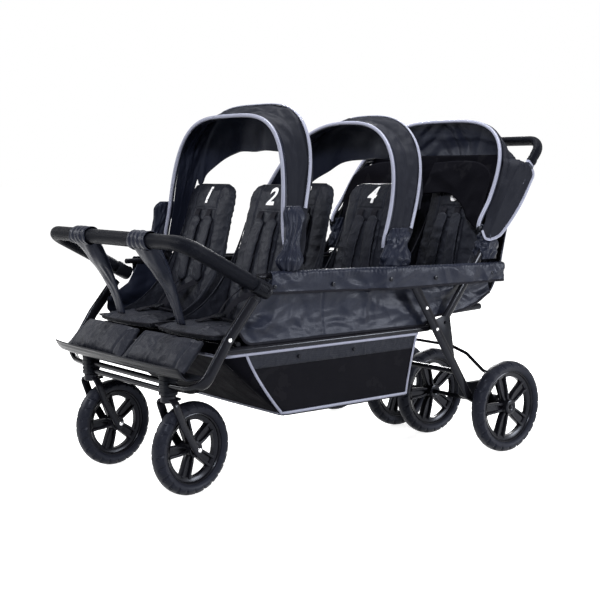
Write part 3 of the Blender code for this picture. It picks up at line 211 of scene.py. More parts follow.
def rounded_path(points, radius, steps=10):
    """The polyline with an arc of the radius at each inner corner."""
    points = [Vector(p) for p in points]
    path = [points[0]]
    for before, corner, after in zip(points, points[1:], points[2:]):
        inward = (before - corner).normalized()
        outward = (after - corner).normalized()
        half = inward.angle(outward) / 2
        lengths = ((before - corner).length, (after - corner).length)
        reach = min(radius / tan(half), 0.45 * min(lengths))
        centre = corner + (inward + outward).normalized() * reach / cos(half)
        start = corner + inward * reach - centre
        end = corner + outward * reach - centre
        for i in range(steps + 1):
            path.append(centre + start.slerp(end, i / steps) * start.length)
    path.append(points[-1])
    return path


def even_path(points, spacing):
    """The same line with points at even distances."""
    lengths = [0.0]
    for a, b in zip(points, points[1:]):
        lengths.append(lengths[-1] + (b - a).length)
    count = max(2, round(lengths[-1] / spacing))
    path = []
    i = 0
    for k in range(count + 1):
        at = lengths[-1] * k / count
        while i < len(points) - 2 and lengths[i + 1] < at:
            i += 1
        step = lengths[i + 1] - lengths[i]
        path.append(points[i].lerp(points[i + 1], clamp((at - lengths[i]) / step)))
    return path


def frames_along(path, normal):
    """Each point with a normal carried along the path without twist, and its binormal."""
    normal = Vector(normal)
    found = []
    for i, point in enumerate(path):
        tangent = (path[min(i + 1, len(path) - 1)] - path[max(i - 1, 0)]).normalized()
        normal = (normal - tangent * normal.dot(tangent)).normalized()
        found.append((point, normal, tangent.cross(normal)))
    return found


def wobble(point, scale, seed=0.0):
    """Smooth noise from -1 to 1."""
    return noise.noise(Vector(point) * scale + Vector((seed, seed * 1.7, -seed)))


def crumple(point, scale, seed=0.0):
    """Sharp-edged folds from 0 to 1, as in creased cloth."""
    at = Vector(point) * scale + Vector((seed, -seed, seed * 0.6))
    return 1 - abs(noise.noise(at)) * 2.2 - 0.4 * abs(noise.noise(at * 2.3))


def creased(x, y, size, seed):
    """Long folds in a few directions that come and go, from about -1 to 1."""
    total = -0.9
    a, b = x / size, y / size
    for k in range(4):
        way = seed + 2.4 * k
        drift = 0.9 * noise.noise(Vector((a * 0.5, b * 0.5, seed + 3 * k)))
        at = a * cos(way) + b * sin(way) + seed * k + drift
        fold = 1 - abs(2 * (at % 1) - 1)
        strength = clamp(0.45 + 1.7 * noise.noise(Vector((a * 0.45, b * 0.45, 5 * k - seed))))
        total += fold**1.4 * strength
    return total


# Mesh builders


def sweep(bm, path, halves, normal=AXIS_X, sides=16, power=2.0):
    """Extrudes a ring from point to point. Halves is one (normal, binormal) pair, or one a point."""
    along = bm.verts.layers.float.get("along") or bm.verts.layers.float.new("along")
    spoke = bm.verts.layers.int.get("spoke") or bm.verts.layers.int.new("spoke")
    if isinstance(halves, tuple):
        halves = [halves] * len(path)
    ring = bmesh.ops.create_circle(bm, cap_ends=False, segments=sides, radius=1)["verts"]
    for k, v in enumerate(ring):
        v[spoke] = k
    edges = list({e for v in ring for e in v.link_edges})
    ends = list(edges)
    length = 0.0
    previous = path[0]
    for i, ((point, n, b), half) in enumerate(zip(frames_along(path, normal), halves)):
        if i:
            grown = bmesh.ops.extrude_edge_only(bm, edges=edges)["geom"]
            ring = [g for g in grown if isinstance(g, bmesh.types.BMVert)]
            held = set(ring)
            edges = [g for g in grown if isinstance(g, bmesh.types.BMEdge) and held.issuperset(g.verts)]
        length += (point - previous).length
        previous = point
        for v in ring:
            angle = 2 * pi * v[spoke] / sides
            c, s = cos(angle), sin(angle)
            c = copysign(abs(c) ** (2 / power), c)
            s = copysign(abs(s) ** (2 / power), s)
            v.co = point + n * half[0] * c + b * half[1] * s
            v[along] = length
    bmesh.ops.holes_fill(bm, edges=ends + edges, sides=0)


def strap(bm, path, width, thickness=0.002, normal=AXIS_X):
    """Flat webbing with its flat side facing the normal."""
    sweep(bm, path, (thickness / 2, width / 2), normal, sides=12, power=5)


def turned(bm, profile, centre, axis="Z", steps=48):
    """Spins an open line of (radius, height) points about an axis through the centre."""
    verts = []
    for radius, height in profile:
        place = (radius, 0, height) if axis == "Z" else (height, radius, 0)
        verts.append(bm.verts.new(place))
    edges = [bm.edges.new(pair) for pair in zip(verts, verts[1:])]
    bmesh.ops.spin(bm, geom=verts + edges, cent=(0, 0, 0), axis=(0, 0, 1) if axis == "Z" else (1, 0, 0),
        angle=2 * pi, steps=steps, use_merge=True)
    found = set(verts)
    grow = list(verts)
    while grow:
        v = grow.pop()
        fresh = {e.other_vert(v) for e in v.link_edges} - found
        found |= fresh
        grow += fresh
    found = list(found)
    bmesh.ops.translate(bm, verts=found, vec=centre)
    bmesh.ops.remove_doubles(bm, verts=found, dist=1e-6)
    return found


def patch(bm, columns, rows, place, size=(1.0, 1.0)):
    """A grid put in place by a function of two shares, its UVs in metres."""
    uv = bm.loops.layers.uv.verify()
    verts = bmesh.ops.create_grid(bm, x_segments=columns, y_segments=rows, size=0.5)["verts"]
    for face in {f for v in verts for f in v.link_faces}:
        for loop in face.loops:
            co = loop.vert.co
            loop[uv].uv = ((co.x + 0.5) * size[0], (co.y + 0.5) * size[1])
    for v in verts:
        v.co = place(v.co.x + 0.5, v.co.y + 0.5)
    return verts


def slab(bm, columns, rows, face, back):
    """A closed pad between two surfaces given as functions of two shares."""
    first = patch(bm, columns, rows, face)
    second = patch(bm, columns, rows, back)
    rim = {e for v in first + second for e in v.link_edges if e.is_boundary}
    bmesh.ops.bridge_loops(bm, edges=list(rim))


def block(bm, size, centre, bevel=0.0, segments=3):
    """A box with rounded edges."""
    made = bmesh.ops.create_cube(bm, size=1)["verts"]
    bmesh.ops.scale(bm, vec=size, verts=made)
    bmesh.ops.translate(bm, vec=centre, verts=made)
    if bevel:
        edges = list({e for v in made for e in v.link_edges})
        bmesh.ops.bevel(bm, geom=edges, offset=bevel, segments=segments, profile=0.5, affect="EDGES",
            material=-1)


def plate(bm, outline, first, second, bevel=0.002):
    """A flat plate between two values of X, its outline given as (Y, Z) pairs."""
    verts = [bm.verts.new((first, y, z)) for y, z in outline]
    face = bm.faces.new(verts)
    grown = bmesh.ops.extrude_face_region(bm, geom=[face])["geom"]
    moved = [g for g in grown if isinstance(g, bmesh.types.BMVert)]
    bmesh.ops.translate(bm, vec=(second - first, 0, 0), verts=moved)
    edges = list({e for v in verts + moved for e in v.link_edges})
    bmesh.ops.bevel(bm, geom=edges, offset=bevel, segments=2, profile=0.5, affect="EDGES", material=-1)


def piece(name, bm, material, body, angle=40, recalc=True):
    """Makes the mesh a piece in its material, riding on a body if one is given."""
    spoke = bm.verts.layers.int.get("spoke")
    if spoke:
        bm.verts.layers.int.remove(spoke)
    if recalc:
        bmesh.ops.recalc_face_normals(bm, faces=bm.faces)
    mesh = bpy.data.meshes.new(name)
    bm.to_mesh(mesh)
    bm.free()
    mesh.shade_smooth()
    mesh.set_sharp_from_angle(angle=radians(angle))
    made = bpy.data.objects.new(name, mesh)
    bpy.context.scene.collection.objects.link(made)
    mesh.materials.append(finish(material))
    if body:
        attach(made, body)
    return made


def thicken(obj, thickness, lining=None):
    """Gives cloth its thickness, with the lining's material on its back."""
    solid = obj.modifiers.new("Thickness", "SOLIDIFY")
    solid.thickness = thickness
    solid.offset = 0
    solid.use_even_offset = False
    if lining:
        obj.data.materials.append(finish(lining))
        solid.material_offset = 1


def turn_caster(bm, sign):
    """Turns what was modelled straight to the caster's place at rest."""
    centre = Vector((sign * CASTER[0], CASTER[1], 0))
    bmesh.ops.rotate(bm, cent=centre, matrix=Matrix.Rotation(TURN, 3, "Z"), verts=bm.verts)


def settings():
    return bpy.context.scene.stroller


# Materials


def add(tree, kind, place, **values):
    """A node with its settings, and a value or a link for each socket that is named."""
    node = tree.nodes.new(kind)
    node.location = place
    for name, value in values.items():
        if hasattr(node, name):
            setattr(node, name, value)
            continue
        socket = node.inputs[name.replace("_", " ")]
        if isinstance(value, bpy.types.NodeSocket):
            tree.links.new(value, socket)
        else:
            socket.default_value = value
    return node


def new_group(name, inputs, outputs):
    """An empty node group: a Vector input, number inputs with their defaults, number outputs."""
    tree = bpy.data.node_groups.new(name, "ShaderNodeTree")
    tree.interface.new_socket("Vector", in_out="INPUT", socket_type="NodeSocketVector")
    for label, value in inputs.items():
        socket = tree.interface.new_socket(label, in_out="INPUT", socket_type="NodeSocketFloat")
        socket.default_value = value
    for label in outputs:
        tree.interface.new_socket(label, in_out="OUTPUT", socket_type="NodeSocketFloat")
    start = add(tree, "NodeGroupInput", (-800, 0))
    end = add(tree, "NodeGroupOutput", (600, 0))
    return tree, start, end


def group(name):
    """The node group of that name, built at its first use."""
    return bpy.data.node_groups.get(name) or GROUPS[name]()


def maths(tree, operation, place, first, second=None):
    node = add(tree, "ShaderNodeMath", place, operation=operation)
    for socket, value in ((0, first), (1, second)):
        if value is None:
            continue
        if isinstance(value, (int, float)):
            node.inputs[socket].default_value = value
        else:
            tree.links.new(value, node.inputs[socket])
    return node.outputs[0]


def weave_group():
    """Threads that cross: a height, and a mask that is 1 on the threads."""
    tree, start, end = new_group("Weave", {"Threads": 500.0, "Cover": 0.5}, ("Height", "Mask"))
    rows = []
    for k, axis in enumerate("XYZ"):
        wave = add(tree, "ShaderNodeTexWave", (-500, 200 - 250 * k), wave_type="BANDS", bands_direction=axis,
            wave_profile="SIN", Vector=start.outputs["Vector"], Scale=start.outputs["Threads"])
        rows.append(wave.outputs["Fac"])
    first = maths(tree, "MAXIMUM", (-200, 150), rows[0], rows[1])
    height = maths(tree, "MAXIMUM", (0, 50), first, rows[2])
    mask = maths(tree, "GREATER_THAN", (200, -100), height, start.outputs["Cover"])
    tree.links.new(height, end.inputs["Height"])
    tree.links.new(mask, end.inputs["Mask"])
    return tree


def crease_group():
    """Soft wrinkles and small creases as a height."""
    tree, start, end = new_group("Crease", {"Scale": 20.0}, ["Height"])
    place, scale = start.outputs["Vector"], start.outputs["Scale"]
    broad = add(tree, "ShaderNodeTexNoise", (-500, 200), Vector=place, Scale=scale, Detail=2.0,
        Roughness=0.45, Distortion=0.4)
    fine = maths(tree, "MULTIPLY", (-650, -150), scale, 1.7)
    sharp = add(tree, "ShaderNodeTexNoise", (-500, -100), Vector=place, Scale=fine, Detail=1.0,
        Distortion=0.3)
    centred = maths(tree, "SUBTRACT", (-320, -100), sharp.outputs[0], 0.5)
    ridge = maths(tree, "MULTIPLY", (0, -100), maths(tree, "ABSOLUTE", (-150, -100), centred), 1.4)
    tree.links.new(maths(tree, "SUBTRACT", (200, 50), broad.outputs[0], ridge), end.inputs["Height"])
    return tree


def wear_group():
    """Patchy handling and dust: a value about 1 that scales roughness, and a dust mask."""
    tree, start, end = new_group("Wear", {"Scale": 12.0, "Amount": 0.2}, ("Factor", "Dust"))
    patches = add(tree, "ShaderNodeTexNoise", (-500, 100), Vector=start.outputs["Vector"],
        Scale=start.outputs["Scale"], Detail=5.0, Roughness=0.6)
    centred = maths(tree, "SUBTRACT", (-250, 100), patches.outputs[0], 0.5)
    scaled = maths(tree, "MULTIPLY", (-50, 100), centred, start.outputs["Amount"])
    tree.links.new(maths(tree, "ADD", (150, 100), scaled, 1.0), end.inputs["Factor"])
    dust = maths(tree, "GREATER_THAN", (0, -120), patches.outputs[0], 0.6)
    soft = maths(tree, "MULTIPLY", (200, -120), dust, start.outputs["Amount"])
    tree.links.new(soft, end.inputs["Dust"])
    return tree


# Finish: colour property, roughness, metallic, specular, effects as (group, scale, bump metres)
FINE_WEAVE = ("Weave", 520.0, 0.0001)
FINISHES = {"tube": ("tube_colour", 0.17, 0.0, 0.10, [("Crease", 9.0, 0.00004)]),
    "plastic": ("plastic_colour", 0.32, 0.0, 0.05, [("Crease", 420.0, 0.00006)]),
    "rim": ("rim_colour", 0.24, 0.0, 0.12, [("Crease", 300.0, 0.00004)]),
    "tyre": ("tyre_colour", 0.42, 0.0, 0.09, [("Crease", 160.0, 0.0001)]),
    "foam": ("foam_colour", 0.42, 0.0, 0.035, [("Along", 0.0, 0.0004)]),
    "seat": ("seat_colour", 0.42, 0.0, 0.09, [("Weave", 380.0, 0.0002), ("Crease", 16.0, 0.0060)]),
    "nylon": ("nylon_colour", 0.34, 0.0, 0.12, [FINE_WEAVE, ("Crease", 6.0, 0.0045)]),
    "lining": ("lining_colour", 0.60, 0.0, 0.03, [FINE_WEAVE, ("Crease", 6.0, 0.0060)]),
    # shade: near-black cloth with almost no reflection; inside the hood its darkness is painted shade where
    # the lamps light the cloth directly
    "shade": ("shade_colour", 0.70, 0.0, 0.01, [FINE_WEAVE, ("Crease", 6.0, 0.0060)]),
    "piping": ("piping_colour", 0.40, 0.0, 0.30, [("Weave", 600.0, 0.0001), ("Crease", 60.0, 0.0004)]),
    "webbing": ("webbing_colour", 0.60, 0.0, 0.06, [("Weave", 330.0, 0.0003)]),
    "mesh": ("mesh_colour", 0.70, 0.0, 0.03, [("Crease", 12.0, 0.001)]),
    "bolt": ("bolt_colour", 0.24, 1.0, 0.50, [("Crease", 200.0, 0.00003)]),
    "numeral": ("numeral_colour", 0.60, 0.0, 0.30, [FINE_WEAVE])}
GROUPS = {"Weave": weave_group, "Crease": crease_group, "Wear": wear_group}


def finish(name):
    """The material of that name, made when it is first asked for."""
    label = "stroller_" + name
    if label in bpy.data.materials:
        return bpy.data.materials[label]
    prop, roughness, metallic, specular, effects = FINISHES[name]
    material = bpy.data.materials.new(label)
    material.use_nodes = True
    tree = material.node_tree
    shader = tree.nodes["Principled BSDF"]
    colour = tuple(getattr(settings(), prop))
    shader.inputs["Metallic"].default_value = metallic
    shader.inputs["Specular IOR Level"].default_value = specular
    shader.inputs["Specular Tint"].default_value = (0.78, 0.84, 1.0, 1)
    where = add(tree, "ShaderNodeTexCoord", (-1400, 0)).outputs["Object"]
    wear = add(tree, "ShaderNodeGroup", (-900, 300), node_tree=group("Wear"), Vector=where, Scale=14.0,
        Amount=0.5)
    rough = maths(tree, "MULTIPLY", (-300, 250), wear.outputs["Factor"], roughness)
    tree.links.new(rough, shader.inputs["Roughness"])
    dusty = (*[min(1, c * 1.25 + 0.004) for c in colour], 1)
    tint = add(tree, "ShaderNodeMix", (-300, 500), data_type="RGBA", A=(*colour, 1), B=dusty,
        Factor=wear.outputs["Dust"])
    tree.links.new(tint.outputs["Result"], shader.inputs["Base Color"])
    material.diffuse_color = (*colour, 1)
    normal = None
    for k, (effect, scale, depth) in enumerate(effects):
        if effect == "Along":
            height = ribs_along(tree)
        else:
            node = add(tree, "ShaderNodeGroup", (-900, -200 - 260 * k), node_tree=group(effect), Vector=where)
            node.inputs["Threads" if effect == "Weave" else "Scale"].default_value = scale
            height = node.outputs["Height"]
        bump = add(tree, "ShaderNodeBump", (-500, -200 - 260 * k), Distance=depth, Strength=0.8,
            Height=height)
        if normal:
            tree.links.new(normal, bump.inputs["Normal"])
        normal = bump.outputs["Normal"]
    tree.links.new(normal, shader.inputs["Normal"])
    if name == "mesh":
        netting(tree, shader)
    return material


def ribs_along(tree):
    """Fine ribs across a swept piece, from its length attribute."""
    reach = add(tree, "ShaderNodeAttribute", (-1200, -300), attribute_name="along")
    turns = maths(tree, "MULTIPLY", (-1000, -300), reach.outputs["Fac"], 2 * pi / 0.0026)
    return maths(tree, "SINE", (-800, -300), turns)


def netting(tree, shader):
    """Open mesh: clear between threads that follow the piece's UVs."""
    where = add(tree, "ShaderNodeUVMap", (-1200, -700))
    threads = add(tree, "ShaderNodeGroup", (-900, -700), node_tree=group("Weave"), Vector=where.outputs["UV"],
        Threads=settings().mesh_threads, Cover=0.25)
    tree.links.new(threads.outputs["Mask"], shader.inputs["Alpha"])


# Tubes


def handle_z(y):
    return HINGE[1] + (y - HINGE[0]) * HANDLE_SLOPE


def handle_y(z):
    return HINGE[0] + (z - HINGE[1]) / HANDLE_SLOPE


def leg_y(z):
    return LEG_TOP[0] - (z - LEG_TOP[1]) / LEG_SLOPE


def rail_z(y):
    (y0, z0), (y1, z1) = RAIL_ENDS
    return z0 + (z1 - z0) * (y - y0) / (y1 - y0)


def handle_path():
    corner = (HANDLE_CORNER_Y, handle_z(HANDLE_CORNER_Y))
    run = Vector((0, corner[0] - HINGE[0], corner[1] - HINGE[1])).normalized()
    points = []
    for sign in (1, -1):
        foot = at_side(sign * HANDLE_X, HINGE) - run * 0.016
        knee = at_side(sign * HANDLE_X, corner)
        points += [foot, knee] if sign > 0 else [knee, foot]
    return rounded_path(points, 0.050, 12)


def tube(name, path, half, body, normal=AXIS_X, power=2.4):
    bm = bmesh.new()
    sweep(bm, path, half, normal, 20, power)
    return piece(name, bm, "tube", body)


def tape(name, path, half, body, material="piping", sides=12, power=2.6):
    """Piping, binding or a sleeve swept along a path."""
    bm = bmesh.new()
    sweep(bm, path, half, AXIS_X, sides, power)
    return piece(name, bm, material, body, 60)


def rod(name, start, end, radius, body):
    bm = bmesh.new()
    rod_into(bm, start, end, radius)
    return piece(name, bm, "tube", body)


def rod_into(bm, start, end, radius):
    start, end = Vector(start), Vector(end)
    way = (end - start).normalized()
    guide = Vector((0, 0, 1)) if abs(way.z) < 0.9 else AXIS_X
    lip = min(0.0012, radius * 0.2, (end - start).length * 0.2)
    path = [start, start + way * lip, end - way * lip, end]
    halves = [(radius - lip,) * 2, (radius,) * 2, (radius,) * 2, (radius - lip,) * 2]
    sweep(bm, path, halves, way.cross(guide), 24)


def bolt_into(bm, place, sign, radius=0.006, height=0.003):
    """A domed steel head on a side face."""
    profile = [(0, height), (radius * 0.55, height * 0.9), (radius * 0.9, height * 0.55)]
    profile += [(radius, height * 0.15), (radius, -0.001)]
    turned(bm, [(r, sign * h) for r, h in profile], place, "X", 24)


def build_front_frame():
    for side, sign in SIDES.items():
        clamp_at = at_side(sign * FRONT_X, BUMPER_END) - CLAMP_WAY * 0.012
        knee = Vector((sign * FRONT_X, -0.548, 0.442))
        run = (clamp_at - knee).normalized()
        points = [clamp_at - run * 0.0365, knee, Vector((sign * FRONT_X, -0.621, 0.332)),
            Vector((sign * (FRONT_X - 0.055), CASTER[1] + 0.004, 0.312)),
            Vector((sign * (CASTER[0] + HEAD_HALF), CASTER[1], 0.309))]
        made = tube("front_tube_" + side, rounded_path(points, 0.06, 12), FRONT_TUBE, "frame")
        if side == "left":
            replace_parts(made, "front_frame")
        head = bmesh.new()
        place = (sign * CASTER[0], CASTER[1])
        levels = [(0.0, 0.80), (0.001, 0.97), (0.004, 1.0)]
        for k in range(4):
            low = 0.009 + 0.0105 * k
            levels += [(low, 1.0), (low + 0.0015, 0.93), (low + 0.0040, 0.93), (low + 0.0055, 1.0)]
        levels += [(0.0525, 1.0), (0.0545, 0.97), (HEAD_HEIGHT, 0.85)]
        route = [Vector((*place, CROWN_TOP + up)) for up, _ in levels]
        sweep(head, route, [(0.0218 * size, 0.0218 * size) for _, size in levels], AXIS_X, 40, 4.2)
        piece("caster_head_" + side, head, "plastic", "frame")
    half = CASTER[0] - HEAD_HALF
    for k, height in enumerate((0.010, 0.033)):
        place = (CASTER[1], CROWN_TOP + height)
        rod("head_bar_%d" % (k + 1), at_side(-half, place), at_side(half, place), BAR_RADIUS, "frame")


def build_lower_frame():
    foot_y = leg_y(LOWER_Z)
    for side, sign in SIDES.items():
        points = [Vector((sign * LOWER_X, -0.5706, LOWER_Z)),
            Vector((sign * LOWER_X, foot_y + 0.002, LOWER_Z)),
            Vector((sign * LOWER_REAR_X, foot_y + 0.032, 0.447)), Vector((sign * LOWER_REAR_X, 0.436, 0.455))]
        half = (LOWER_RADIUS, LOWER_RADIUS)
        made = tube("lower_rail_" + side, rounded_path(points, 0.02, 8), half, "frame", power=2)
        if side == "left":
            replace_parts(made, "lower_frame")
    for row in range(3):
        end = (LOWER_X if row < 2 else LOWER_REAR_X) - 0.005
        for label, place in (("rear", SEAT_HINGES[row]), ("front", SEAT_FRONTS[row])):
            name = "seat_bar_%d_%s" % (row + 1, label)
            rod(name, at_side(-end, place), at_side(end, place), BAR_RADIUS, "frame")
    for side, sign in SIDES.items():
        start = Vector((sign * RAIL_X, -0.4405, RAIL_ENDS[0][1]))
        bm = bmesh.new()
        rod_into(bm, start, at_side(sign * RAIL_X, RAIL_ENDS[1]), 0.008)
        for pivot in PIVOTS.values():
            inner = at_side(sign * 0.3331, pivot)
            rod_into(bm, inner, inner + Vector((sign * 0.011, 0, 0)), 0.013)
        made = piece("rail_" + side, bm, "tube", "frame")
        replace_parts(made, "side_rail_" + side)


def build_rear_frame():
    inner = LEG_X - LEG_TUBE[0]
    for side, sign in SIDES.items():
        top = at_side(sign * LEG_X, LEG_TOP)
        foot_y = leg_y(LEG_FOOT_Z)
        foot = Vector((sign * LEG_X, foot_y, LEG_FOOT_Z))
        leg = tube("rear_leg_" + side, even_path([top, foot], 0.05), LEG_TUBE, "frame")
        if side == "left":
            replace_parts(leg, "rear_frame")
        plates = bmesh.new()
        outline = []
        for k in range(17):
            angle = radians(-115 + 230 * k / 16)
            outline.append((REAR_Y + 0.030 * cos(angle), REAR_RADIUS + 0.030 * sin(angle)))
        outline += [(0.444, 0.209), (0.438, 0.225), (0.420, 0.227), (foot_y + 0.018, 0.227)]
        outline += [(foot_y - 0.026, 0.237), (foot_y - 0.022, LEG_FOOT_Z)]
        plate(plates, outline, sign * (inner - PLATE_DEPTH), sign * (inner + 0.002), 0.003)
        outline = [(HINGE[0] + 0.020, HINGE[1] + 0.014), (HINGE[0] - 0.012, HINGE[1] + 0.020),
            (leg_y(HINGE[1]) - 0.014, HINGE[1] + 0.004), (leg_y(HINGE[1] - 0.120) - 0.010, HINGE[1] - 0.120),
            (HINGE[0] + 0.042, HINGE[1] - 0.1104), (HINGE[0] + 0.026, HINGE[1] - 0.020)]
        start = HANDLE_X + HANDLE_TUBE[0] + GAP
        plate(plates, outline, sign * start, sign * (inner + 0.001), 0.0006)
        for place, tip in (((leg_y(0.588), 0.588), 0.3513), ((leg_y(LOWER_Z), LOWER_Z), 0.354)):
            rod_into(plates, at_side(sign * tip, place), at_side(sign * (inner + 0.002), place), 0.006)
        pin = [at_side(sign * x, HINGE) for x in (HANDLE_X - HANDLE_TUBE[0], LEG_X)]
        rod_into(plates, *pin, 0.005)
        piece("leg_plates_" + side, plates, "plastic", "frame", 30)
    ends = [Vector((sign * (LEG_X - 0.004), leg_y(0.268), 0.268)) for sign in (-1, 1)]
    rod("leg_bar", *ends, BAR_RADIUS, "frame")
    axle = [Vector((sign * 0.429, REAR_Y, REAR_RADIUS)) for sign in (-1, 1)]
    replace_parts(rod("axle_rod", *axle, 0.007, "frame"), "rear_axle")
    bolts = bmesh.new()
    for sign in SIDES.values():
        out = LEG_X + LEG_TUBE[0] + 0.0001
        bolt_into(bolts, Vector((sign * (FRONT_X + FRONT_TUBE[0]), -0.548, 0.442)), sign)
        bolt_into(bolts, Vector((sign * out, leg_y(0.475), 0.475)), sign, 0.0055)
        bolt_into(bolts, Vector((sign * out, leg_y(LOWER_Z), LOWER_Z)), sign, 0.0055)
    piece("frame_bolts", bolts, "bolt", "frame")


def build_handle():
    made = tube("handle_tube", handle_path(), HANDLE_TUBE, "handle")
    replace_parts(made, "push_handle")
    bm = bmesh.new()
    pivot_y, pivot_z = HOOD_PIVOT
    tube_y = handle_y(pivot_z)
    face = HANDLE_X - HANDLE_TUBE[0]
    for sign in SIDES.values():
        outline = [(pivot_y - 0.010, pivot_z - 0.008), (pivot_y - 0.010, pivot_z + 0.008),
            (tube_y + 0.006, pivot_z + 0.008), (tube_y, pivot_z - 0.008)]
        plate(bm, outline, sign * (face - 0.004), sign * (face + 0.001), 0.001)
    piece("hood_brackets", bm, "plastic", "handle")
    path = handle_path()
    run = (path[1] - path[0]).normalized()
    first = path[1] - run * 0.045
    last = path[-2] - (path[-2] - path[-1]).normalized() * 0.045
    route = even_path([first, *path[1:-1], last], 0.008)
    count = len(route)
    halves = []
    for k in range(count):
        end = min(k, count - 1 - k)
        size = 0.86 if end == 0 else (1.05 if end < 3 else (0.93 if end == 3 else 1.0))
        halves.append((0.0142 * size, 0.0168 * size))
    bm = bmesh.new()
    sweep(bm, route, halves, AXIS_X, 24)
    grip = piece("grip_foam", bm, "foam", "handle", 60)
    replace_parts(grip, "handle_grip")
    for side, sign in SIDES.items():
        bm = bmesh.new()
        start = sign * (face - GAP)
        profile = [(0.0, 0.0), (0.0105, 0.0), (0.011, 0.0008), (0.011, 0.0075), (0.0095, 0.0098),
            (0.0, 0.0100)]
        turned(bm, [(r, -sign * h) for r, h in profile], Vector((start, *HINGE)), "X", 32)
        knob = piece("hinge_knob_" + side, bm, "plastic", "fold_lock_" + side)
        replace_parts(knob, "fold_lock_" + side)


def build_brake():
    end_x = LEG_X - LEG_TUBE[0] - PLATE_DEPTH - GAP
    over = 2 * REAR_RADIUS + 0.0164
    pivot = (0.430, REAR_RADIUS + 0.0717)
    points = []
    for sign in (1, -1):
        run = [Vector((sign * end_x, *pivot)), Vector((sign * (end_x - 0.014), *pivot)),
            Vector((sign * (end_x - 0.022), 0.500, pivot[1] + 0.017)),
            Vector((sign * 0.290, 0.506, pivot[1] + 0.021)), Vector((sign * 0.215, 0.506, over - 0.019)),
            Vector((sign * 0.140, 0.506, over))]
        points += run if sign > 0 else run[::-1]
    path = rounded_path(points, 0.03, 6)
    made = tube("brake_rod", path, (0.0055, 0.0055), "brake", Vector((0, 0, 1)), power=2)
    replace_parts(made, "brake_bar")


# Wheels


def tyre_into(bm, centre, radius):
    """A tyre whose shoulders carry short grooves across the tread."""
    half = [(radius - d, x) for d, x in TYRE_SECTION]
    profile = [(r, -x) for r, x in reversed(half[1:])] + half
    verts = turned(bm, profile, centre, "X", 240)
    groove = settings().groove_depth
    shoulder = radius - 0.021
    middle = Vector(centre)
    for v in verts:
        offset = v.co - middle
        angle = degrees(atan2(offset.z, offset.y)) % 15
        across = abs(offset.x)
        reach = hypot(offset.y, offset.z)
        if reach > shoulder and across > 0.009 and (angle + 400 * (across - 0.015)) % 15 < 3.2:
            depth = groove * ease(0.009, 0.012, across) * ease(shoulder, radius - 0.014, reach)
            v.co = middle + Vector((offset.x * (1 - depth * 6), *(offset.yz * (1 - depth / reach))))


def rim_into(bm, centre, radius):
    """A rim with a lipped ring, double-bladed spokes and a dished hub."""
    centre = Vector(centre)
    outer = radius - TYRE_DEPTH - GAP
    lip = 0.0165
    ring = [(outer, -lip), (outer, lip), (outer - 0.002, lip + 0.0006), (outer - 0.0045, lip - 0.001),
        (outer - 0.006, lip - 0.006), (outer - 0.015, lip - 0.008), (outer - 0.0185, lip - 0.010),
        (outer - 0.0185, -lip + 0.010), (outer - 0.015, -lip + 0.008), (outer - 0.006, -lip + 0.006),
        (outer - 0.0045, -lip + 0.001), (outer - 0.002, -lip - 0.0006), (outer, -lip)]
    turned(bm, ring, centre, "X", 96)
    for sign in (-1, 1):
        hub = [(0.0, 0.0185), (0.0060, 0.0190), (0.0070, 0.0212), (0.0130, 0.0238), (0.0190, 0.0240),
            (0.0225, 0.0222), (0.0240, 0.0180), (0.0245, 0.0)]
        turned(bm, [(r, sign * x) for r, x in hub], centre, "X", 48)
    inner, far = 0.022, outer - 0.014
    for k in range(5):
        for lean in (-1, 1):
            start = 2 * pi * (k + 0.5) / 5 + lean * 0.30
            end = 2 * pi * (k + 0.5) / 5 + lean * 0.155
            path = []
            halves = []
            for i in range(7):
                share = i / 6
                angle = start + (end - start) * ease(0, 1, share)
                reach = inner + (far - inner) * share
                path.append(centre + Vector((0, cos(angle), sin(angle))) * reach)
                wide = 0.0042 + 0.001 * abs(2 * share - 1)
                halves.append((0.0115 - 0.0015 * sin(pi * share), wide))
            sweep(bm, path, halves, AXIS_X, 12, 3.5)
        path = []
        for i in range(5):
            angle = 2 * pi * (k + 0.5) / 5
            reach = inner + (far - inner) * i / 4
            path.append(centre + Vector((0, cos(angle), sin(angle))) * reach)
        halves = [(0.0035, 0.0085 + 0.0035 * (i / 4)) for i in range(5)]
        sweep(bm, path, halves, AXIS_X, 8, 4)
    profile = [(0.0, 0.0268), (0.0045, 0.0262), (0.0068, 0.0240), (0.0072, 0.0180)]
    for sign in (-1, 1):
        turned(bm, [(r, sign * x) for r, x in profile], centre, "X", 20)


def build_wheels():
    places = {}
    for name, x in REAR_PLACES.items():
        centre = Vector((x, REAR_Y, REAR_RADIUS))
        places["rear_%s_" + name] = (centre, REAR_RADIUS, "rear_wheel_" + name)
    for side, sign in SIDES.items():
        centre = Vector((sign * CASTER[0], CASTER[1] + TRAIL, FRONT_RADIUS))
        places["front_%s_" + side] = (centre, FRONT_RADIUS, "front_wheel_" + side)
    for name, (centre, radius, body) in places.items():
        sign = 1 if centre.x > 0 else -1
        for label, build, crease in (("tyre", tyre_into, 24), ("rim", rim_into, 42)):
            bm = bmesh.new()
            build(bm, centre, radius)
            if name.startswith("front"):
                turn_caster(bm, sign)
            made = piece(name % ("wheel_" + label), bm, label, body, crease)
            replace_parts(made, name % label)


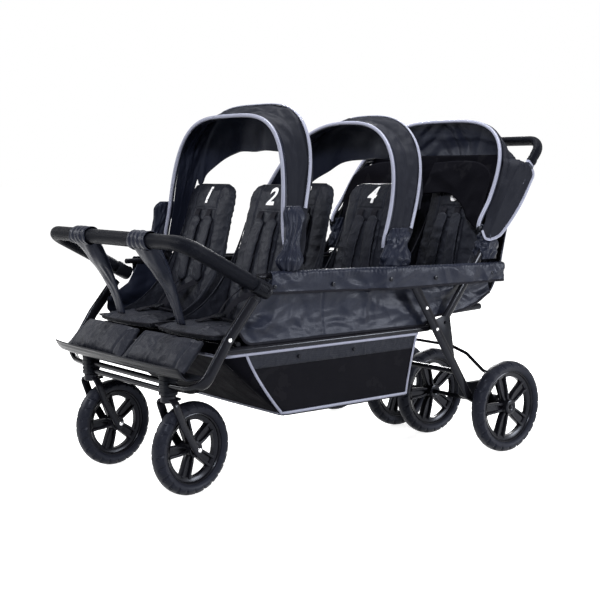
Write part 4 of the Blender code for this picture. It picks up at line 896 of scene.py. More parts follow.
def build_casters():
    for side, sign in SIDES.items():
        x = sign * CASTER[0]
        bm = bmesh.new()
        profile = [(0.0, CROWN_Z), (0.017, CROWN_Z), (0.021, CROWN_Z + 0.003)]
        profile += [(0.021, CROWN_TOP - 0.0013), (0.020, CROWN_TOP - GAP), (0.009, CROWN_TOP - GAP)]
        profile += [(0.009, CROWN_TOP + 0.038), (0, CROWN_TOP + 0.04)]
        turned(bm, profile, (x, CASTER[1], 0), steps=40)
        for arm in (-1, 1):
            points = [Vector((x + arm * 0.004, CASTER[1], CROWN_Z + 0.010)),
                Vector((x + arm * ARM_X, CASTER[1] - 0.004, CROWN_Z + 0.006)),
                Vector((x + arm * ARM_X, CASTER[1] + 0.30 * TRAIL, 0.76 * CROWN_Z)),
                Vector((x + arm * ARM_X, CASTER[1] + TRAIL, FRONT_RADIUS - 0.013))]
            path = even_path(rounded_path(points, 0.028, 8), 0.008)
            sweep(bm, path, (0.0120, 0.0045), (0, 1, 0), 16, 3)
        turn_caster(bm, sign)
        fork = piece("fork_" + side, bm, "rim", "caster_" + side)
        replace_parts(fork, "caster_fork_" + side)
        nuts = bmesh.new()
        for arm in (-1, 1):
            place = Vector((x + arm * (ARM_X + 0.0045), CASTER[1] + TRAIL, FRONT_RADIUS))
            bolt_into(nuts, place, arm, 0.0068, 0.0032)
        turn_caster(nuts, sign)
        piece("caster_nuts_" + side, nuts, "bolt", "caster_" + side)
        bm = bmesh.new()
        block(bm, (0.020, 0.016, 0.008), (x, CASTER[1] + 0.0293, CROWN_Z + 0.0055), 0.0025)
        turn_caster(bm, sign)
        tab = piece("caster_tab_" + side, bm, "plastic", "caster_lock_" + side)
        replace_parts(tab, "caster_lock_" + side)


# Padded pieces


def swollen(name, bm, pinned):
    """A pad swollen by a short cloth simulation, no point moving further than PAD_CAP."""
    obj = piece(name, bm, "seat", None)
    remesh = obj.modifiers.new("Remesh", "REMESH")
    remesh.mode = "VOXEL"
    remesh.voxel_size = settings().voxel
    bake(obj)
    rest = [v.co.copy() for v in obj.data.vertices]
    group = obj.vertex_groups.new(name="seams")
    for v in obj.data.vertices:
        weight = pinned(v.co)
        if weight > 0:
            group.add([v.index], weight, "REPLACE")
    cover = obj.modifiers.new("Cloth", "CLOTH")
    cover.settings.use_pressure = True
    cover.settings.uniform_pressure_force = settings().pressure
    cover.settings.effector_weights.gravity = 0
    cover.settings.vertex_group_mass = "seams"
    cover.settings.tension_stiffness = 12
    cover.settings.compression_stiffness = 12
    cover.settings.bending_stiffness = 0.6
    cover.point_cache.frame_start = 1
    cover.point_cache.frame_end = 20
    for number in range(1, 21):
        bpy.context.scene.frame_set(number)
    bake(obj)
    for v, start in zip(obj.data.vertices, rest):
        step = v.co - start
        if step.length > PAD_CAP:
            v.co = start + step.normalized() * PAD_CAP
    bpy.context.scene.frame_set(1)
    return obj


def bake(obj):
    """Applies the piece's modifiers to its mesh."""
    graph = bpy.context.evaluated_depsgraph_get()
    graph.update()
    mesh = bpy.data.meshes.new_from_object(obj.evaluated_get(graph))
    old = obj.data
    obj.modifiers.clear()
    obj.data = mesh
    bpy.data.meshes.remove(old)


def shaped(obj, move):
    """Subdivides and smooths a pad, then moves each point along its normal by a function of its place."""
    bm = bmesh.new()
    bm.from_mesh(obj.data)
    bmesh.ops.subdivide_edges(bm, edges=bm.edges, cuts=1, use_grid_fill=True, smooth=0.6)
    bmesh.ops.smooth_vert(bm, verts=bm.verts, factor=0.5, use_axis_x=True, use_axis_y=True, use_axis_z=True)
    bm.normal_update()
    moved = [v.co + v.normal * move(v.co) for v in bm.verts]
    for v, place in zip(bm.verts, moved):
        v.co = place
    bm.to_mesh(obj.data)
    bm.free()
    obj.data.shade_smooth()


def copied(source, name, matrix, mirrored, body):
    """A copy of a pad moved to another seat."""
    bm = bmesh.new()
    bm.from_mesh(source.data)
    if mirrored:
        bmesh.ops.scale(bm, vec=(-1, 1, 1), verts=bm.verts)
        bmesh.ops.reverse_faces(bm, faces=bm.faces)
    bmesh.ops.transform(bm, matrix=matrix, verts=bm.verts)
    made = piece(name, bm, "seat", body, recalc=False, angle=180)
    return made


def cushion_base(u, v, inset=0.0):
    """The underside of a cushion about X 0, its rear edge at Y 0 and its height from 0."""
    across = 2 * v - 1
    drawn = 1 - 0.04 * sin(pi * u)
    x = (CUSHION_HALF - inset) * drawn * across
    bow = CUSHION_BOW * (1 - across * across) * (1 - u)
    y = -CUSHION_DEPTH * (1 - u) - bow
    if inset:
        y += inset * (1 - 2 * u)
    return Vector((x, y, 0))


def cushion_top(u, v):
    across = abs(2 * v - 1)
    share = (1 - across**4) * (1 - abs(2 * u - 1) ** 4)
    return cushion_base(u, v, 0.003) + Vector((0, 0, 0.0135 + 0.0185 * share))


def seam_line(co):
    """How close a place on the cushion's top is to its two sewn channels, from 0 to 1."""
    gap = abs(abs(co.x) - 0.076 - 0.006 * sin(18 * co.y))
    return 1 - ease(0.0, 0.009, gap)


def build_cushions():
    bm = bmesh.new()
    lift = Vector((0, 0, 0.002))
    slab(bm, 40, 28, lambda u, v: cushion_top(v, u), lambda u, v: cushion_base(v, u, 0.003) + lift)
    pad = swollen("cushion_form", bm, lambda co: 1.0 if co.z < 0.004 else 0.6 * seam_line(co))

    def move(co):
        lift = ease(0.008, 0.02, co.z)
        wrinkle = 0.0022 * crumple(Vector((co.x * 0.6, co.y * 1.5, 0)), 22, 3)
        return lift * (wrinkle - 0.003 * seam_line(co)) - 0.0006

    shaped(pad, move)
    for v in pad.data.vertices:
        v.co.z = clamp(v.co.z, 0.0004, 0.0415)
    for row in range(3):
        (hinge_y, hinge_z), (front_y, front_z) = SEAT_HINGES[row], SEAT_FRONTS[row]
        slope = atan2(hinge_z - front_z, hinge_y - front_y)
        rear = hinge_y - FOOT_DEPTH
        rear_z = front_z + (hinge_z - front_z) * (rear - front_y) / (hinge_y - front_y)
        for sign in (-1, 1):
            number = 2 * row + (1 if sign < 0 else 2)
            place = Matrix.Translation((sign * SEAT_X, rear, rear_z + BAR_RADIUS + GAP))
            place = place @ Matrix.Rotation(slope, 4, "X")
            made = copied(pad, "cushion_%d" % number, place, sign < 0, "frame")
            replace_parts(made, "seat_cushion_%d" % number)
            edge = bmesh.new()
            path = []
            for k in range(61):
                share = k / 60
                along, across = 0.0, share
                if share <= 0.1:
                    along, across = 0.6 * (1 - share / 0.1), 0.0
                elif share >= 0.9:
                    along, across = 0.6 * (share - 0.9) / 0.1, 1.0
                path.append(place @ (cushion_base(along, across, -0.0005) + Vector((0, 0, 0.015))))
            sweep(edge, even_path(path, 0.008), (0.0024, 0.0024), (0, 0, 1), 8)
            piece("cushion_welt_%d" % number, edge, "webbing", "frame")
    bpy.data.objects.remove(pad)


def back_half(share):
    low, high = BACK_HALVES
    width = low + (high - low) * ease(0.35, 0.75, share)
    corner = max(share - 0.88, 0) / 0.12
    return width - 0.050 * (1 - sqrt(1 - min(corner, 0.999) ** 2))


BACK_LENGTHS = [(BACK_TOP - z) / cos(BACK_TILT) for _, z in SEAT_HINGES]
BACK_FOOT = BAR_RADIUS + GAP


def back_rear(u, v, length, inset=0.003):
    """The rear of a backrest about its hinge at the origin: u up the back, v across."""
    place = BACK_FOOT + inset + (length - BACK_FOOT - 2 * inset) * u
    x = (back_half(u) - inset) * (2 * v - 1)
    return Vector((x, 0, 0)) + UP * place - AHEAD * 0.004


def back_face(u, v, length):
    across = abs(2 * v - 1)
    share = (1 - across**4) * (1 - abs(2 * u - 1) ** 8)
    return back_rear(u, v, length) + AHEAD * (0.011 + 0.014 * share)


def back_seams(co, length):
    """The backrest's sewn lines: two down its length and two across the head."""
    up = co.dot(UP)
    side = 1 - ease(0.0, 0.008, abs(abs(co.x) - 0.060))
    slot_low = 1 - ease(0.0, 0.006, abs(up - (length - 0.125)))
    slot_high = 1 - ease(0.0, 0.006, abs(up - (length - 0.085)))
    inside = 1 - ease(0.058, 0.066, abs(co.x))
    return max(side * ease(0.02, 0.06, up), 0.8 * inside * max(slot_low, slot_high))


def build_backs():
    forms = {}
    for row in range(3):
        length = BACK_LENGTHS[row]
        if row == 1:
            forms[1] = forms[0]
            continue
        bm = bmesh.new()
        slab(bm, 34, 48, lambda u, v: back_face(v, u, length), lambda u, v: back_rear(v, u, length))

        def pinned(co):
            if co.dot(AHEAD) < -0.003:
                return 1.0
            return 0.6 * back_seams(co, length)

        pad = swollen("back_form_%d" % row, bm, pinned)

        def move(co):
            lift = ease(0.002, 0.012, co.dot(AHEAD))
            up = co.dot(UP)
            wrinkle = 0.002 * crumple(Vector((co.x * 0.8, 0, up * 1.4)), 19, 5 + row)
            return lift * (wrinkle - 0.0028 * back_seams(co, length)) - 0.0004

        shaped(pad, move)
        forms[row] = pad
    for number, row, sign in SEATS:
        place = Matrix.Translation((sign * SEAT_X, *SEAT_HINGES[row]))
        back = "back_%d" % number
        made = copied(forms[row], back + "_pad", place, sign < 0, back)
        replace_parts(made, "backrest_%d" % number)
        build_wings(number, sign, row)
    for form in {id(f): f for f in forms.values()}.values():
        bpy.data.objects.remove(form)


def build_wings(number, sign, row):
    """Cloth gussets from the sides of a backrest forward to the sides of its cushion."""
    hinge = at_side(sign * SEAT_X, SEAT_HINGES[row])
    length = BACK_LENGTHS[row]
    for label, way in (("in", -sign), ("out", sign)):
        bm = bmesh.new()

        def place(u, v):
            share = 0.70 * (1 - u) + 0.02
            edge = Vector((way * (back_half(share) - 0.004), 0, 0))
            edge += UP * (BACK_FOOT + (length - BACK_FOOT) * share)
            edge += AHEAD * 0.006
            reach = 0.150 * ease(0, 1, u) ** 0.8 * (1 - 0.10 * sin(pi * u))
            low = Vector((way * (CUSHION_HALF - 0.006), -FOOT_DEPTH - reach, 0.030))
            fore = edge.lerp(low, ease(0.0, 1.0, u) ** 0.7)
            point = edge.lerp(fore, v)
            sag = sin(pi * v) * sin(pi * u)
            crease = 0.003 * wobble((u * 3, v * 4, number * 2.3), 1.6)
            return hinge + point + Vector((way * (0.006 * sag + crease * sag), 0, 0))

        patch(bm, 26, 18, place, (0.3, 0.15))
        wing = piece("back_wing_%d_%s" % (number, label), bm, "seat", None, angle=180)
        thicken(wing, 0.003)
        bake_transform(wing)


def draped(name, counts, place, size, material, body, wall, lining=None):
    """A sheet of counts cells across and down, put in place by a function."""
    bm = bmesh.new()
    patch(bm, *counts, place, size)
    return cloth_piece(name, bm, material, body, wall, lining)


def cloth_piece(name, bm, material, body, wall, lining=None):
    """A cloth's mesh made a piece with its thickness."""
    made = piece(name, bm, material, body, angle=180, recalc=False)
    thicken(made, wall, lining)
    return made


def surface(obj):
    """A tree for finding points on a piece."""
    bm = bmesh.new()
    bm.from_mesh(obj.data)
    tree = BVHTree.FromBMesh(bm)
    bm.free()
    return tree


def laid(tree, point, way, lift):
    """The point moved along the way until it meets the surface, then lifted off it."""
    hit = tree.ray_cast(point, way)[0]
    return (point + way * 0.05 if hit is None else hit) - way * lift


def build_harnesses():
    for number, row, sign in SEATS:
        back = surface(bpy.data.objects["back_%d_pad" % number])
        seat = surface(bpy.data.objects["cushion_%d" % number])
        hinge = at_side(sign * SEAT_X, SEAT_HINGES[row])
        length = BACK_LENGTHS[row]

        def on_seat(x, y, lift):
            return laid(seat, hinge + Vector((x, y, 0.12)), Vector((0, 0, -1)), lift)

        buckle = on_seat(0, -0.105, 0.011)
        pads = bmesh.new()
        straps = bmesh.new()
        for way in (-1, 1):
            line = []
            for k in range(13):
                share = k / 12
                up = length - 0.108 - 0.205 * share
                x = way * (0.030 + 0.012 * share)
                line.append(laid(back, hinge + Vector((x, 0, 0)) + UP * up + AHEAD * 0.15, -AHEAD,
                    0.0045 + 0.004 * sin(pi * share)))
            path = even_path(line, 0.006)
            count = len(path)
            halves = []
            for k in range(count):
                share = k / (count - 1)
                end = min(share, 1 - share)
                halves.append((0.0035 * ease(-0.02, 0.06, end) + 0.0008, 0.022 * ease(-0.05, 0.07, end)))
            sweep(pads, path, halves, AHEAD, 16, 3)
            tail = path[-1]
            middle = tail.lerp(buckle, 0.5) + AHEAD * 0.012
            run = [path[-1] + UP * 0.012, tail, middle, buckle + Vector((way * 0.016, 0.010, 0.002))]
            strap(straps, curve(run, 16), 0.022, 0.0022, AHEAD)
            top = path[0]
            strap(straps, curve([top + UP * 0.020 - AHEAD * 0.006, top + UP * 0.008, top - UP * 0.02], 6),
                0.024, 0.002, AHEAD)
            lap = [hinge + Vector((way * 0.115, -0.040, 0.036)), on_seat(way * 0.090, -0.070, 0.003),
                on_seat(way * 0.052, -0.092, 0.005), buckle + Vector((way * 0.020, 0.0, -0.002))]
            strap(straps, curve(lap, 16), 0.022, 0.0022, (0, 0, 1))
        low = on_seat(0, -0.175, 0.003)
        strap(straps, curve([low, low.lerp(buckle, 0.5) + Vector((0, 0, 0.003)), buckle], 10), 0.026, 0.003,
            (0, 0, 1))
        pad = piece("shoulder_pads_%d" % number, pads, "seat", "back_%d" % number, 180)
        belt = piece("harness_%d" % number, straps, "webbing", None, angle=60)
        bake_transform(belt)
        clip = bmesh.new()
        block(clip, (0.040, 0.034, 0.011), (0, 0, 0), 0.005, 4)
        block(clip, (0.022, 0.012, 0.013), (0, -0.003, 0), 0.003, 3)
        bmesh.ops.rotate(clip, cent=(0, 0, 0), matrix=Matrix.Rotation(radians(14), 3, "X"), verts=clip.verts)
        bmesh.ops.translate(clip, vec=buckle, verts=clip.verts)
        piece("buckle_%d" % number, clip, "plastic", "frame")


def build_numerals():
    for number, row, sign in SEATS:
        back = surface(bpy.data.objects["back_%d_pad" % number])
        hinge = at_side(sign * SEAT_X, SEAT_HINGES[row])
        middle = hinge + UP * (BACK_LENGTHS[row] - 0.046)
        text = bpy.data.curves.new("numeral", "FONT")
        text.body = str(number)
        text.size = settings().numeral_height / 0.70
        text.shear = 0.22
        text.offset = text.size * 0.03
        text.align_x = "CENTER"
        text.align_y = "CENTER"
        text.resolution_u = 6
        holder = bpy.data.objects.new("numeral_text", text)
        bpy.context.scene.collection.objects.link(holder)
        bpy.context.view_layer.update()
        graph = bpy.context.evaluated_depsgraph_get()
        bm = bmesh.new()
        bm.from_mesh(bpy.data.meshes.new_from_object(holder.evaluated_get(graph)))
        bpy.data.objects.remove(holder)
        bmesh.ops.remove_doubles(bm, verts=bm.verts, dist=1e-6)
        bmesh.ops.triangulate(bm, faces=bm.faces)
        for _ in range(2):
            long_edges = [e for e in bm.edges if e.calc_length() > 0.004]
            bmesh.ops.subdivide_edges(bm, edges=long_edges, cuts=1)
        for v in bm.verts:
            point = middle + AXIS_X * v.co.x + UP * v.co.y + AHEAD * 0.1
            v.co = laid(back, point, -AHEAD, 0.0016)
        piece("numeral_%d" % number, bm, "numeral", "back_%d" % number, 180, recalc=False)


# Footrest


def build_footrest():
    head_top = CROWN_TOP + HEAD_HEIGHT + GAP + 0.0025
    section = [Vector((0, -0.596, 0.343)), Vector((0, -0.6115, head_top)), Vector((0, -0.6605, head_top)),
        Vector((0, -0.684, 0.5 * (head_top + 0.378) - 0.006)), Vector((0, -0.7010, 0.377))]

    def place(u, v):
        across = 2 * u - 1
        point = on_curve(section, v)
        point.x = 0.338 * across
        point.y += 0.014 * abs(across) ** 6 * clamp(-(point.y + 0.62) / 0.08)
        bead = max(exp(-((v - 0.80) / 0.035) ** 2), exp(-((v - 0.93) / 0.03) ** 2))
        point.z += 0.0022 * bead * (1 - abs(across) ** 12)
        return point

    bm = bmesh.new()
    patch(bm, 60, 44, place, (0.66, 0.12))
    tray = piece("footrest", bm, "plastic", "frame")
    thicken(tray, 0.0045)
    edge = tray.modifiers.new("Edge", "BEVEL")
    edge.width = 0.0012
    edge.segments = 2
    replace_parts(tray, "footrest_tray")
    top = Vector((0, SEAT_HINGES[0][0] - FOOT_DEPTH - CUSHION_DEPTH - CUSHION_BOW - 0.0006,
        SEAT_FRONTS[0][1] + BAR_RADIUS))
    foot = Vector((0, -0.6560, 0.3500))
    run = (foot - top).normalized()
    ahead = Vector((0, run.z, -run.y))

    def back(u, v):
        across = Vector(((0.156 - 0.016 * (1 - v) ** 2) * (2 * u - 1), 0, 0))
        return across + (top + run * 0.003).lerp(foot - run * 0.003, v) + ahead * 0.001

    def face(u, v):
        share = (1 - abs(2 * u - 1) ** 4) * (1 - abs(2 * v - 1) ** 4)
        return back(u, v) + ahead * (0.012 + 0.018 * share)

    bm = bmesh.new()
    slab(bm, 40, 22, face, back)
    pad = swollen("calf_form", bm, lambda co: 1.0 if (co - top).dot(ahead) < 0.003 else 0.0)

    def move(co):
        lift = ease(0.003, 0.010, (co - top).dot(ahead))
        down = (co - top).dot(run)
        fold = crumple(Vector((co.x * 1.2 + 0.05 * sin(30 * co.x), 0, down * 2)), 17, 9)
        return lift * (0.0018 * fold - 0.0030 * (1 - ease(0, 0.008, abs(abs(co.x) - 0.118)))) - 0.0006

    shaped(pad, move)
    for side, sign in SIDES.items():
        place = Matrix.Translation((sign * SEAT_X, 0, 0))
        made = copied(pad, "calf_rest_" + side, place, sign < 0, "frame")
        if sign > 0:
            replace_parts(made, "calf_pad")
    bpy.data.objects.remove(pad)


# Bumper bar


def bumper_points():
    points = []
    for sign in (1, -1):
        end = at_side(sign * FRONT_X, BUMPER_END) - CLAMP_WAY * 0.010
        knee = at_side(sign * FRONT_X, BUMPER_KNEE)
        front = at_side(sign * (FRONT_X - 0.002), BUMPER_FRONT)
        points += [end, knee, front] if sign > 0 else [front, knee, end]
    return points


def build_bumper():
    path = rounded_path(bumper_points(), 0.075, 16)
    mouth = 0.025 - 0.012 + 0.010
    start = path[0] + CLAMP_WAY * (mouth + 0.0008)
    end = path[-1] + CLAMP_WAY * (mouth + 0.0008)
    route = even_path([start, *path[1:-1], end], 0.009)
    halves = []
    count = len(route)
    for k in range(count):
        near = min(k, count - 1 - k)
        size = (0.80, 0.96)[near] if near < 2 else 1.0
        halves.append((BUMPER_FOAM * size, BUMPER_FOAM * size))
    bm = bmesh.new()
    sweep(bm, route, halves, AXIS_X, 28)
    foam = piece("bumper_foam", bm, "foam", "bumper", 60)
    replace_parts(foam, "bumper_bar")
    stubs = bmesh.new()
    for tip in (path[0], path[-1]):
        rod_into(stubs, tip, tip + CLAMP_WAY * (mouth + 0.002), 0.010)
    piece("bumper_stubs", stubs, "tube", "bumper")
    for side, sign in SIDES.items():
        build_clamp(side, sign)
        build_band(side, sign)


def build_clamp(side, sign):
    """The socket with its ribbed pad, and the button in its rear."""
    centre = at_side(sign * FRONT_X, BUMPER_END) - CLAMP_WAY * 0.012
    bm = bmesh.new()
    cross = AXIS_X.cross(CLAMP_WAY)
    path, halves = [], []
    for at, size in ((-0.025, 0.80), (-0.0235, 0.93), (-0.020, 1.0), (0.019, 1.0), (0.0235, 0.96),
            (0.025, 0.86)):
        path.append(centre + CLAMP_WAY * at)
        halves.append((0.0222 * size, 0.0222 * size))
    sweep(bm, path, halves, AXIS_X, 32, 2.3)
    for k in range(6):
        spot = centre + CLAMP_WAY * (-0.010 + 0.0052 * k) + Vector((sign * 0.0218, 0, 0))
        rib = [spot - cross * 0.011, spot + cross * 0.011]
        sweep(bm, even_path(rib, 0.004), (0.0012, 0.0015), AXIS_X, 8, 3)
    made = piece("clamp_" + side, bm, "plastic", "frame", 35)
    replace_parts(made, "bumper_clamp_" + side)
    place = centre - CLAMP_WAY * 0.0155 + Vector((sign * 0.0165, 0, 0))
    bm = bmesh.new()
    profile = [(0.0, 0.009), (0.0045, 0.0088), (0.0062, 0.0078), (0.0065, 0.006), (0.0065, 0.0), (0.0, 0.0)]
    turned(bm, [(r, sign * h) for r, h in profile], place, "X", 28)
    button = piece("clamp_button_" + side, bm, "rim", "button_" + side)
    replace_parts(button, "bumper_button_" + side)


def build_band(side, sign):
    """Gathered cloth round the foam, and the strap that runs down between the knees."""
    x = sign * SEAT_X
    bar = Vector((x, *BUMPER_FRONT))
    seat_z = SEAT_HINGES[0][1] + BAR_RADIUS + 0.024 + 0.010
    seat = Vector((x, SEAT_FRONTS[0][0] - 0.062, seat_z))
    bm = bmesh.new()

    def wrap(u, v):
        angle = 2 * pi * u
        half = 0.044 + 0.003 * sin(2 * angle)
        across = 2 * v - 1
        ruche = 0.0012 * sin(2 * pi * 4.2 * v + 2.6 * sin(angle + sign))
        ruche += 0.0016 * crumple((u * 5, v * 2, sign), 1.0)
        radius = BUMPER_FOAM + 0.0030 + ruche + 0.0008 * (1 - abs(across) ** 6)
        return bar + Vector((half * across, radius * cos(angle), radius * sin(angle)))

    verts = patch(bm, 56, 60, wrap, (0.14, 0.085))
    bmesh.ops.remove_doubles(bm, verts=verts, dist=1e-5)
    run = (seat - bar).normalized()
    out = Vector((0, run.z, -run.y))

    def tail(u, v):
        share, angle = v, 2 * pi * u
        half = 0.045 + (0.019 - 0.045) * ease(0.0, 1.0, share)
        deep = 0.0225 + (0.0030 - 0.0225) * ease(0.0, 0.75, share)
        fold = 0.0040 * crumple((u * 3, share * 1.2, sign), 2.6, 91) * (1 - 0.6 * share)
        centre = bar.lerp(seat, share) + Vector((0, 0.014 * sin(pi * share), 0))
        centre += Vector(((half + fold) * cos(angle), 0, 0))
        return centre + out * (deep + fold) * sin(angle)

    verts = patch(bm, 44, 40, tail, (0.16, 0.20))
    bmesh.ops.remove_doubles(bm, verts=verts, dist=1e-5)
    band = cloth_piece("bumper_wrap_" + side, bm, "nylon", "bumper", 0.0022)
    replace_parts(band, "crotch_band_" + side)


# Canopies


def arch_line(arch, pivot, foot_x, grow=0.0, spacing=0.004):
    """Points evenly along an arch from its left foot, each with its share of the height."""
    half, exponent, base_y, lean, top = arch
    y_pivot, z_pivot = pivot
    rise = top - z_pivot + grow
    raw = []
    for k in range(401):
        t = k / 400
        edge = min(t, 1 - t)
        warped = 0.5 * (2 * edge) ** 2.2
        angle = pi * (warped if t < 0.5 else 1 - warped)
        cosine, sine = cos(angle), sin(angle)
        height = rise * abs(sine) ** (2 / exponent)
        low = max(1 - height / (2 * FOOT_SPREAD), 0) ** 2
        width = half + grow + (foot_x - half - grow) * low
        x = width * copysign(abs(cosine) ** (2 / exponent), cosine)
        y = base_y + lean * (z_pivot + height - ARCH_BASE)
        near = max(1 - height / FOOT_SPREAD, 0)
        raw.append(Vector((x, y + (y_pivot - y) * near * near, z_pivot + height)))
    path = even_path(raw, spacing)
    sines = [clamp((p.z - z_pivot) / rise) ** (exponent / 2) for p in path]
    return path, sines


def drawn_in(z):
    """How far the rear edge of a canopy is drawn forward towards its foot."""
    return 0.020 * (1 - ease(0.70, 0.96, z))


def read_path(path, share):
    place = clamp(share) * (len(path) - 1)
    i = min(int(place), len(path) - 2)
    t = place - i
    a, b = path[i], path[i + 1]
    return a + (b - a) * t


def build_canopies():
    for number, (front, rear) in ARCHES.items():
        pivot = PIVOTS[number]
        body, bow = "canopy_%d" % number, "canopy_%d_bow" % number
        foot_x = BOW_X + 0.0025 + GAP + 0.0023
        fore, sines = arch_line(front, pivot, foot_x, 0.001)
        aft, _ = arch_line(rear, pivot, foot_x, 0.003)
        middle = Vector((0, (front[2] + rear[2]) / 2, 0.78))
        if len(fore) == len(aft):
            middle = sum((a + b for a, b in zip(fore, aft)), Vector()) / (2 * len(fore))
        seed = 11.0 * number

        def place(u, v):
            a, b, h = read_path(fore, u), read_path(aft, u), read_path(sines, u)
            pucker = 0.003 * cos(6 * pi * u) * h
            start = a + Vector((0, 0.0112 - 0.0056 * h, 0))
            end = b + Vector((0, 0.020 - 0.014 * h - drawn_in(b.z), 0))
            drop = VALANCE * max(h - 0.35, 0) ** 0.45 + 0.004
            hem = end + Vector((0, 0.012 * h + 0.003 + pucker, -drop))
            sag = Vector((0, 0, -0.004 * h))
            rows = [start, start.lerp(end, 0.5) + sag, end, end.lerp(hem, 0.5) + Vector((0, 0.004, 0)), hem]
            point = on_curve(rows, v)
            outward = point - middle
            outward.y = 0
            outward.normalize()
            roof = ease(0.02, 0.12, v) * (1 - ease(0.40, 0.5, v))
            groove = -0.0070 * exp(-((v - 0.24) / 0.035) ** 2) + 0.0030
            ripple = 0.0060 * creased(1.0 * u, 0.34 * v, 0.075, seed) + 0.0030 * creased(0.9 * u, 0.45 * v,
                0.034, seed + 2)
            point += outward * h * (roof * (ripple + groove))
            hang = ease(0.55, 1.0, v)
            fold = sin(2 * pi * 8 * u + 3.4 * wobble((u * 6, seed, 0), 1.0))
            point += (Vector((0, 1, 0)) * 0.7 - outward * 0.25) * 0.0060 * fold * hang * ease(0.1, 0.5, h)
            return point

        cover = draped("canopy_%d_cloth" % number, (210, 44), place, (1.35, 0.24), "nylon", None, LINED_SHEET,
            "lining")
        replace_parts(cover, "canopy_%d_cover" % number)
        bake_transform(cover)
        build_bow("canopy_%d" % number, front, pivot, BOW_X, number, (0.045, 0.0048))
        keep = []
        for p, h in zip(*arch_line(rear, pivot, foot_x, 0.0072, 0.005)):
            if p.z > pivot[1] + (0.155 if number == 1 else 0.10):
                keep.append(p + Vector((0, 0.016 - 0.014 * h - drawn_in(p.z), 0)))
        tape("canopy_%d_rear_piping" % number, keep, (0.0022, 0.0056), body, power=3)
        build_cuffs(number, pivot, body)


def build_bow(name, arch, pivot, foot_x, number, piping):
    """A front bow's sleeve and feet, and piping given by its start above the pivot and half width."""
    bow = "canopy_%d_bow" % number
    sleeve, _ = arch_line(arch, pivot, foot_x, 0.0, 0.006)
    keep = [p for p in sleeve if p.z > pivot[1] + 0.02]
    made = tape(name + "_sleeve", keep, (0.0042, 0.0070), bow, "nylon", sides=14)
    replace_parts(made, "canopy_%d_front_bow" % number)
    feet = bmesh.new()
    for sign in SIDES.values():
        ends = [at_side(sign * (foot_x + t), pivot) for t in (-0.0025, 0.0025)]
        rod_into(feet, *ends, 0.011)
    for path in (sleeve[:8], sleeve[-8:]):
        sweep(feet, path, (0.0025, 0.005), AXIS_X, 12, 3)
    piece(name + "_bow_feet", feet, "plastic", bow)
    line, _ = arch_line(arch, pivot, foot_x, 0.0, 0.005)
    keep = [p + Vector((0, -0.0048, 0)) for p in line if p.z > pivot[1] + piping[0]]
    tape(name + "_front_piping", keep, (0.0056, piping[1]), bow)


def cuff(name, body, line, sizes, seed):
    """Cloth gathered round the foot of a bow: a closed sleeve along a line, folded and puffed."""

    def place(u, v):
        angle = 2 * pi * u
        centre = on_curve(line, v)
        wide, deep = on_curve(sizes, v)[:2]
        gather = 0.0026 * sin(11 * angle + 2.5 * sin(5 * v + seed)) * (0.25 + 0.75 * abs(2 * v - 1))
        crease = 0.0052 * creased(0.10 * sin(angle), 0.17 * v, 0.045, seed)
        reach = Vector((deep * cos(angle), wide * sin(angle), 0))
        return centre + reach + reach.normalized() * (gather + crease)

    bm = bmesh.new()
    verts = patch(bm, 64, 44, place, (0.25, 0.15))
    bmesh.ops.remove_doubles(bm, verts=verts, dist=1e-5)
    made = cloth_piece(name, bm, "nylon", None, SHEET)
    if body == "handle":
        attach(made, body)
    else:
        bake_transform(made)


def build_cuffs(number, pivot, body):
    """The canopy's cloth gathered round the feet of its bows."""
    y, z = pivot[0], rail_z(pivot[0]) + 0.014
    for side, sign in SIDES.items():
        if number == 1:
            places = [(0.346, y - 0.040, z), (0.346, y - 0.042, z + 0.030), (0.342, y - 0.034, z + 0.066)]
            places += [(0.334, y - 0.022, z + 0.110), (0.326, y - 0.014, z + 0.152),
                (0.320, y - 0.010, z + 0.172)]
            sizes = [(0.030, 0.016), (0.042, 0.026), (0.025, 0.015), (0.026, 0.018), (0.034, 0.015),
                (0.024, 0.007)]
        else:
            places = [(0.345, y, z), (0.345, y + 0.002, z + 0.028), (0.342, y + 0.008, z + 0.055)]
            places += [(0.339, y + 0.018, z + 0.082), (0.336, y + 0.026, z + 0.108)]
            sizes = [(0.050, 0.022), (0.056, 0.028), (0.042, 0.019), (0.042, 0.018), (0.028, 0.007)]
        line = [Vector((sign * px, py, pz)) for px, py, pz in places]
        sizes = [Vector((*pair, 0)) for pair in sizes]
        name = "canopy_%d_cuff_%s" % (number, side)
        cuff(name, body, line, sizes, number + 0.3 * sign)


def hood_side(sign, z):
    """A row of the hood's wing: out in front of the handle tube and back round it."""
    share = (z - HOOD_WING[0]) / (HOOD_WING[1] - HOOD_WING[0])
    half_tube = HANDLE_TUBE[1] * hypot(1, HANDLE_SLOPE) / HANDLE_SLOPE
    wing_x = HANDLE_X + HANDLE_TUBE[0] + GAP + 0.001 + 0.002
    face_x = HANDLE_X - HANDLE_TUBE[0]
    bow_y = HOOD_ARCH[2] + HOOD_ARCH[3] * (z - ARCH_BASE) + 0.009
    inner_x = face_x + 0.004 - 0.012 * ease(0.725, 0.735, z) - 0.016 * share**2 * ease(0.725, 0.735, z)
    tube_front = handle_y(z) - half_tube - 0.004
    rear = handle_y(z) + half_tube + 0.030 * sin(pi * (0.15 + 0.85 * share))
    rear += (tube_front - rear) * ease(0.86, 0.96, share)
    front = min(tube_front - 0.004, bow_y + 0.030)
    return [Vector((sign * inner_x, bow_y, z)),
        Vector((sign * (inner_x + wing_x) / 2, (bow_y + front) / 2, z)), Vector((sign * wing_x, front, z)),
        Vector((sign * wing_x, (front + rear) / 2, z)), Vector((sign * wing_x, rear, z))]


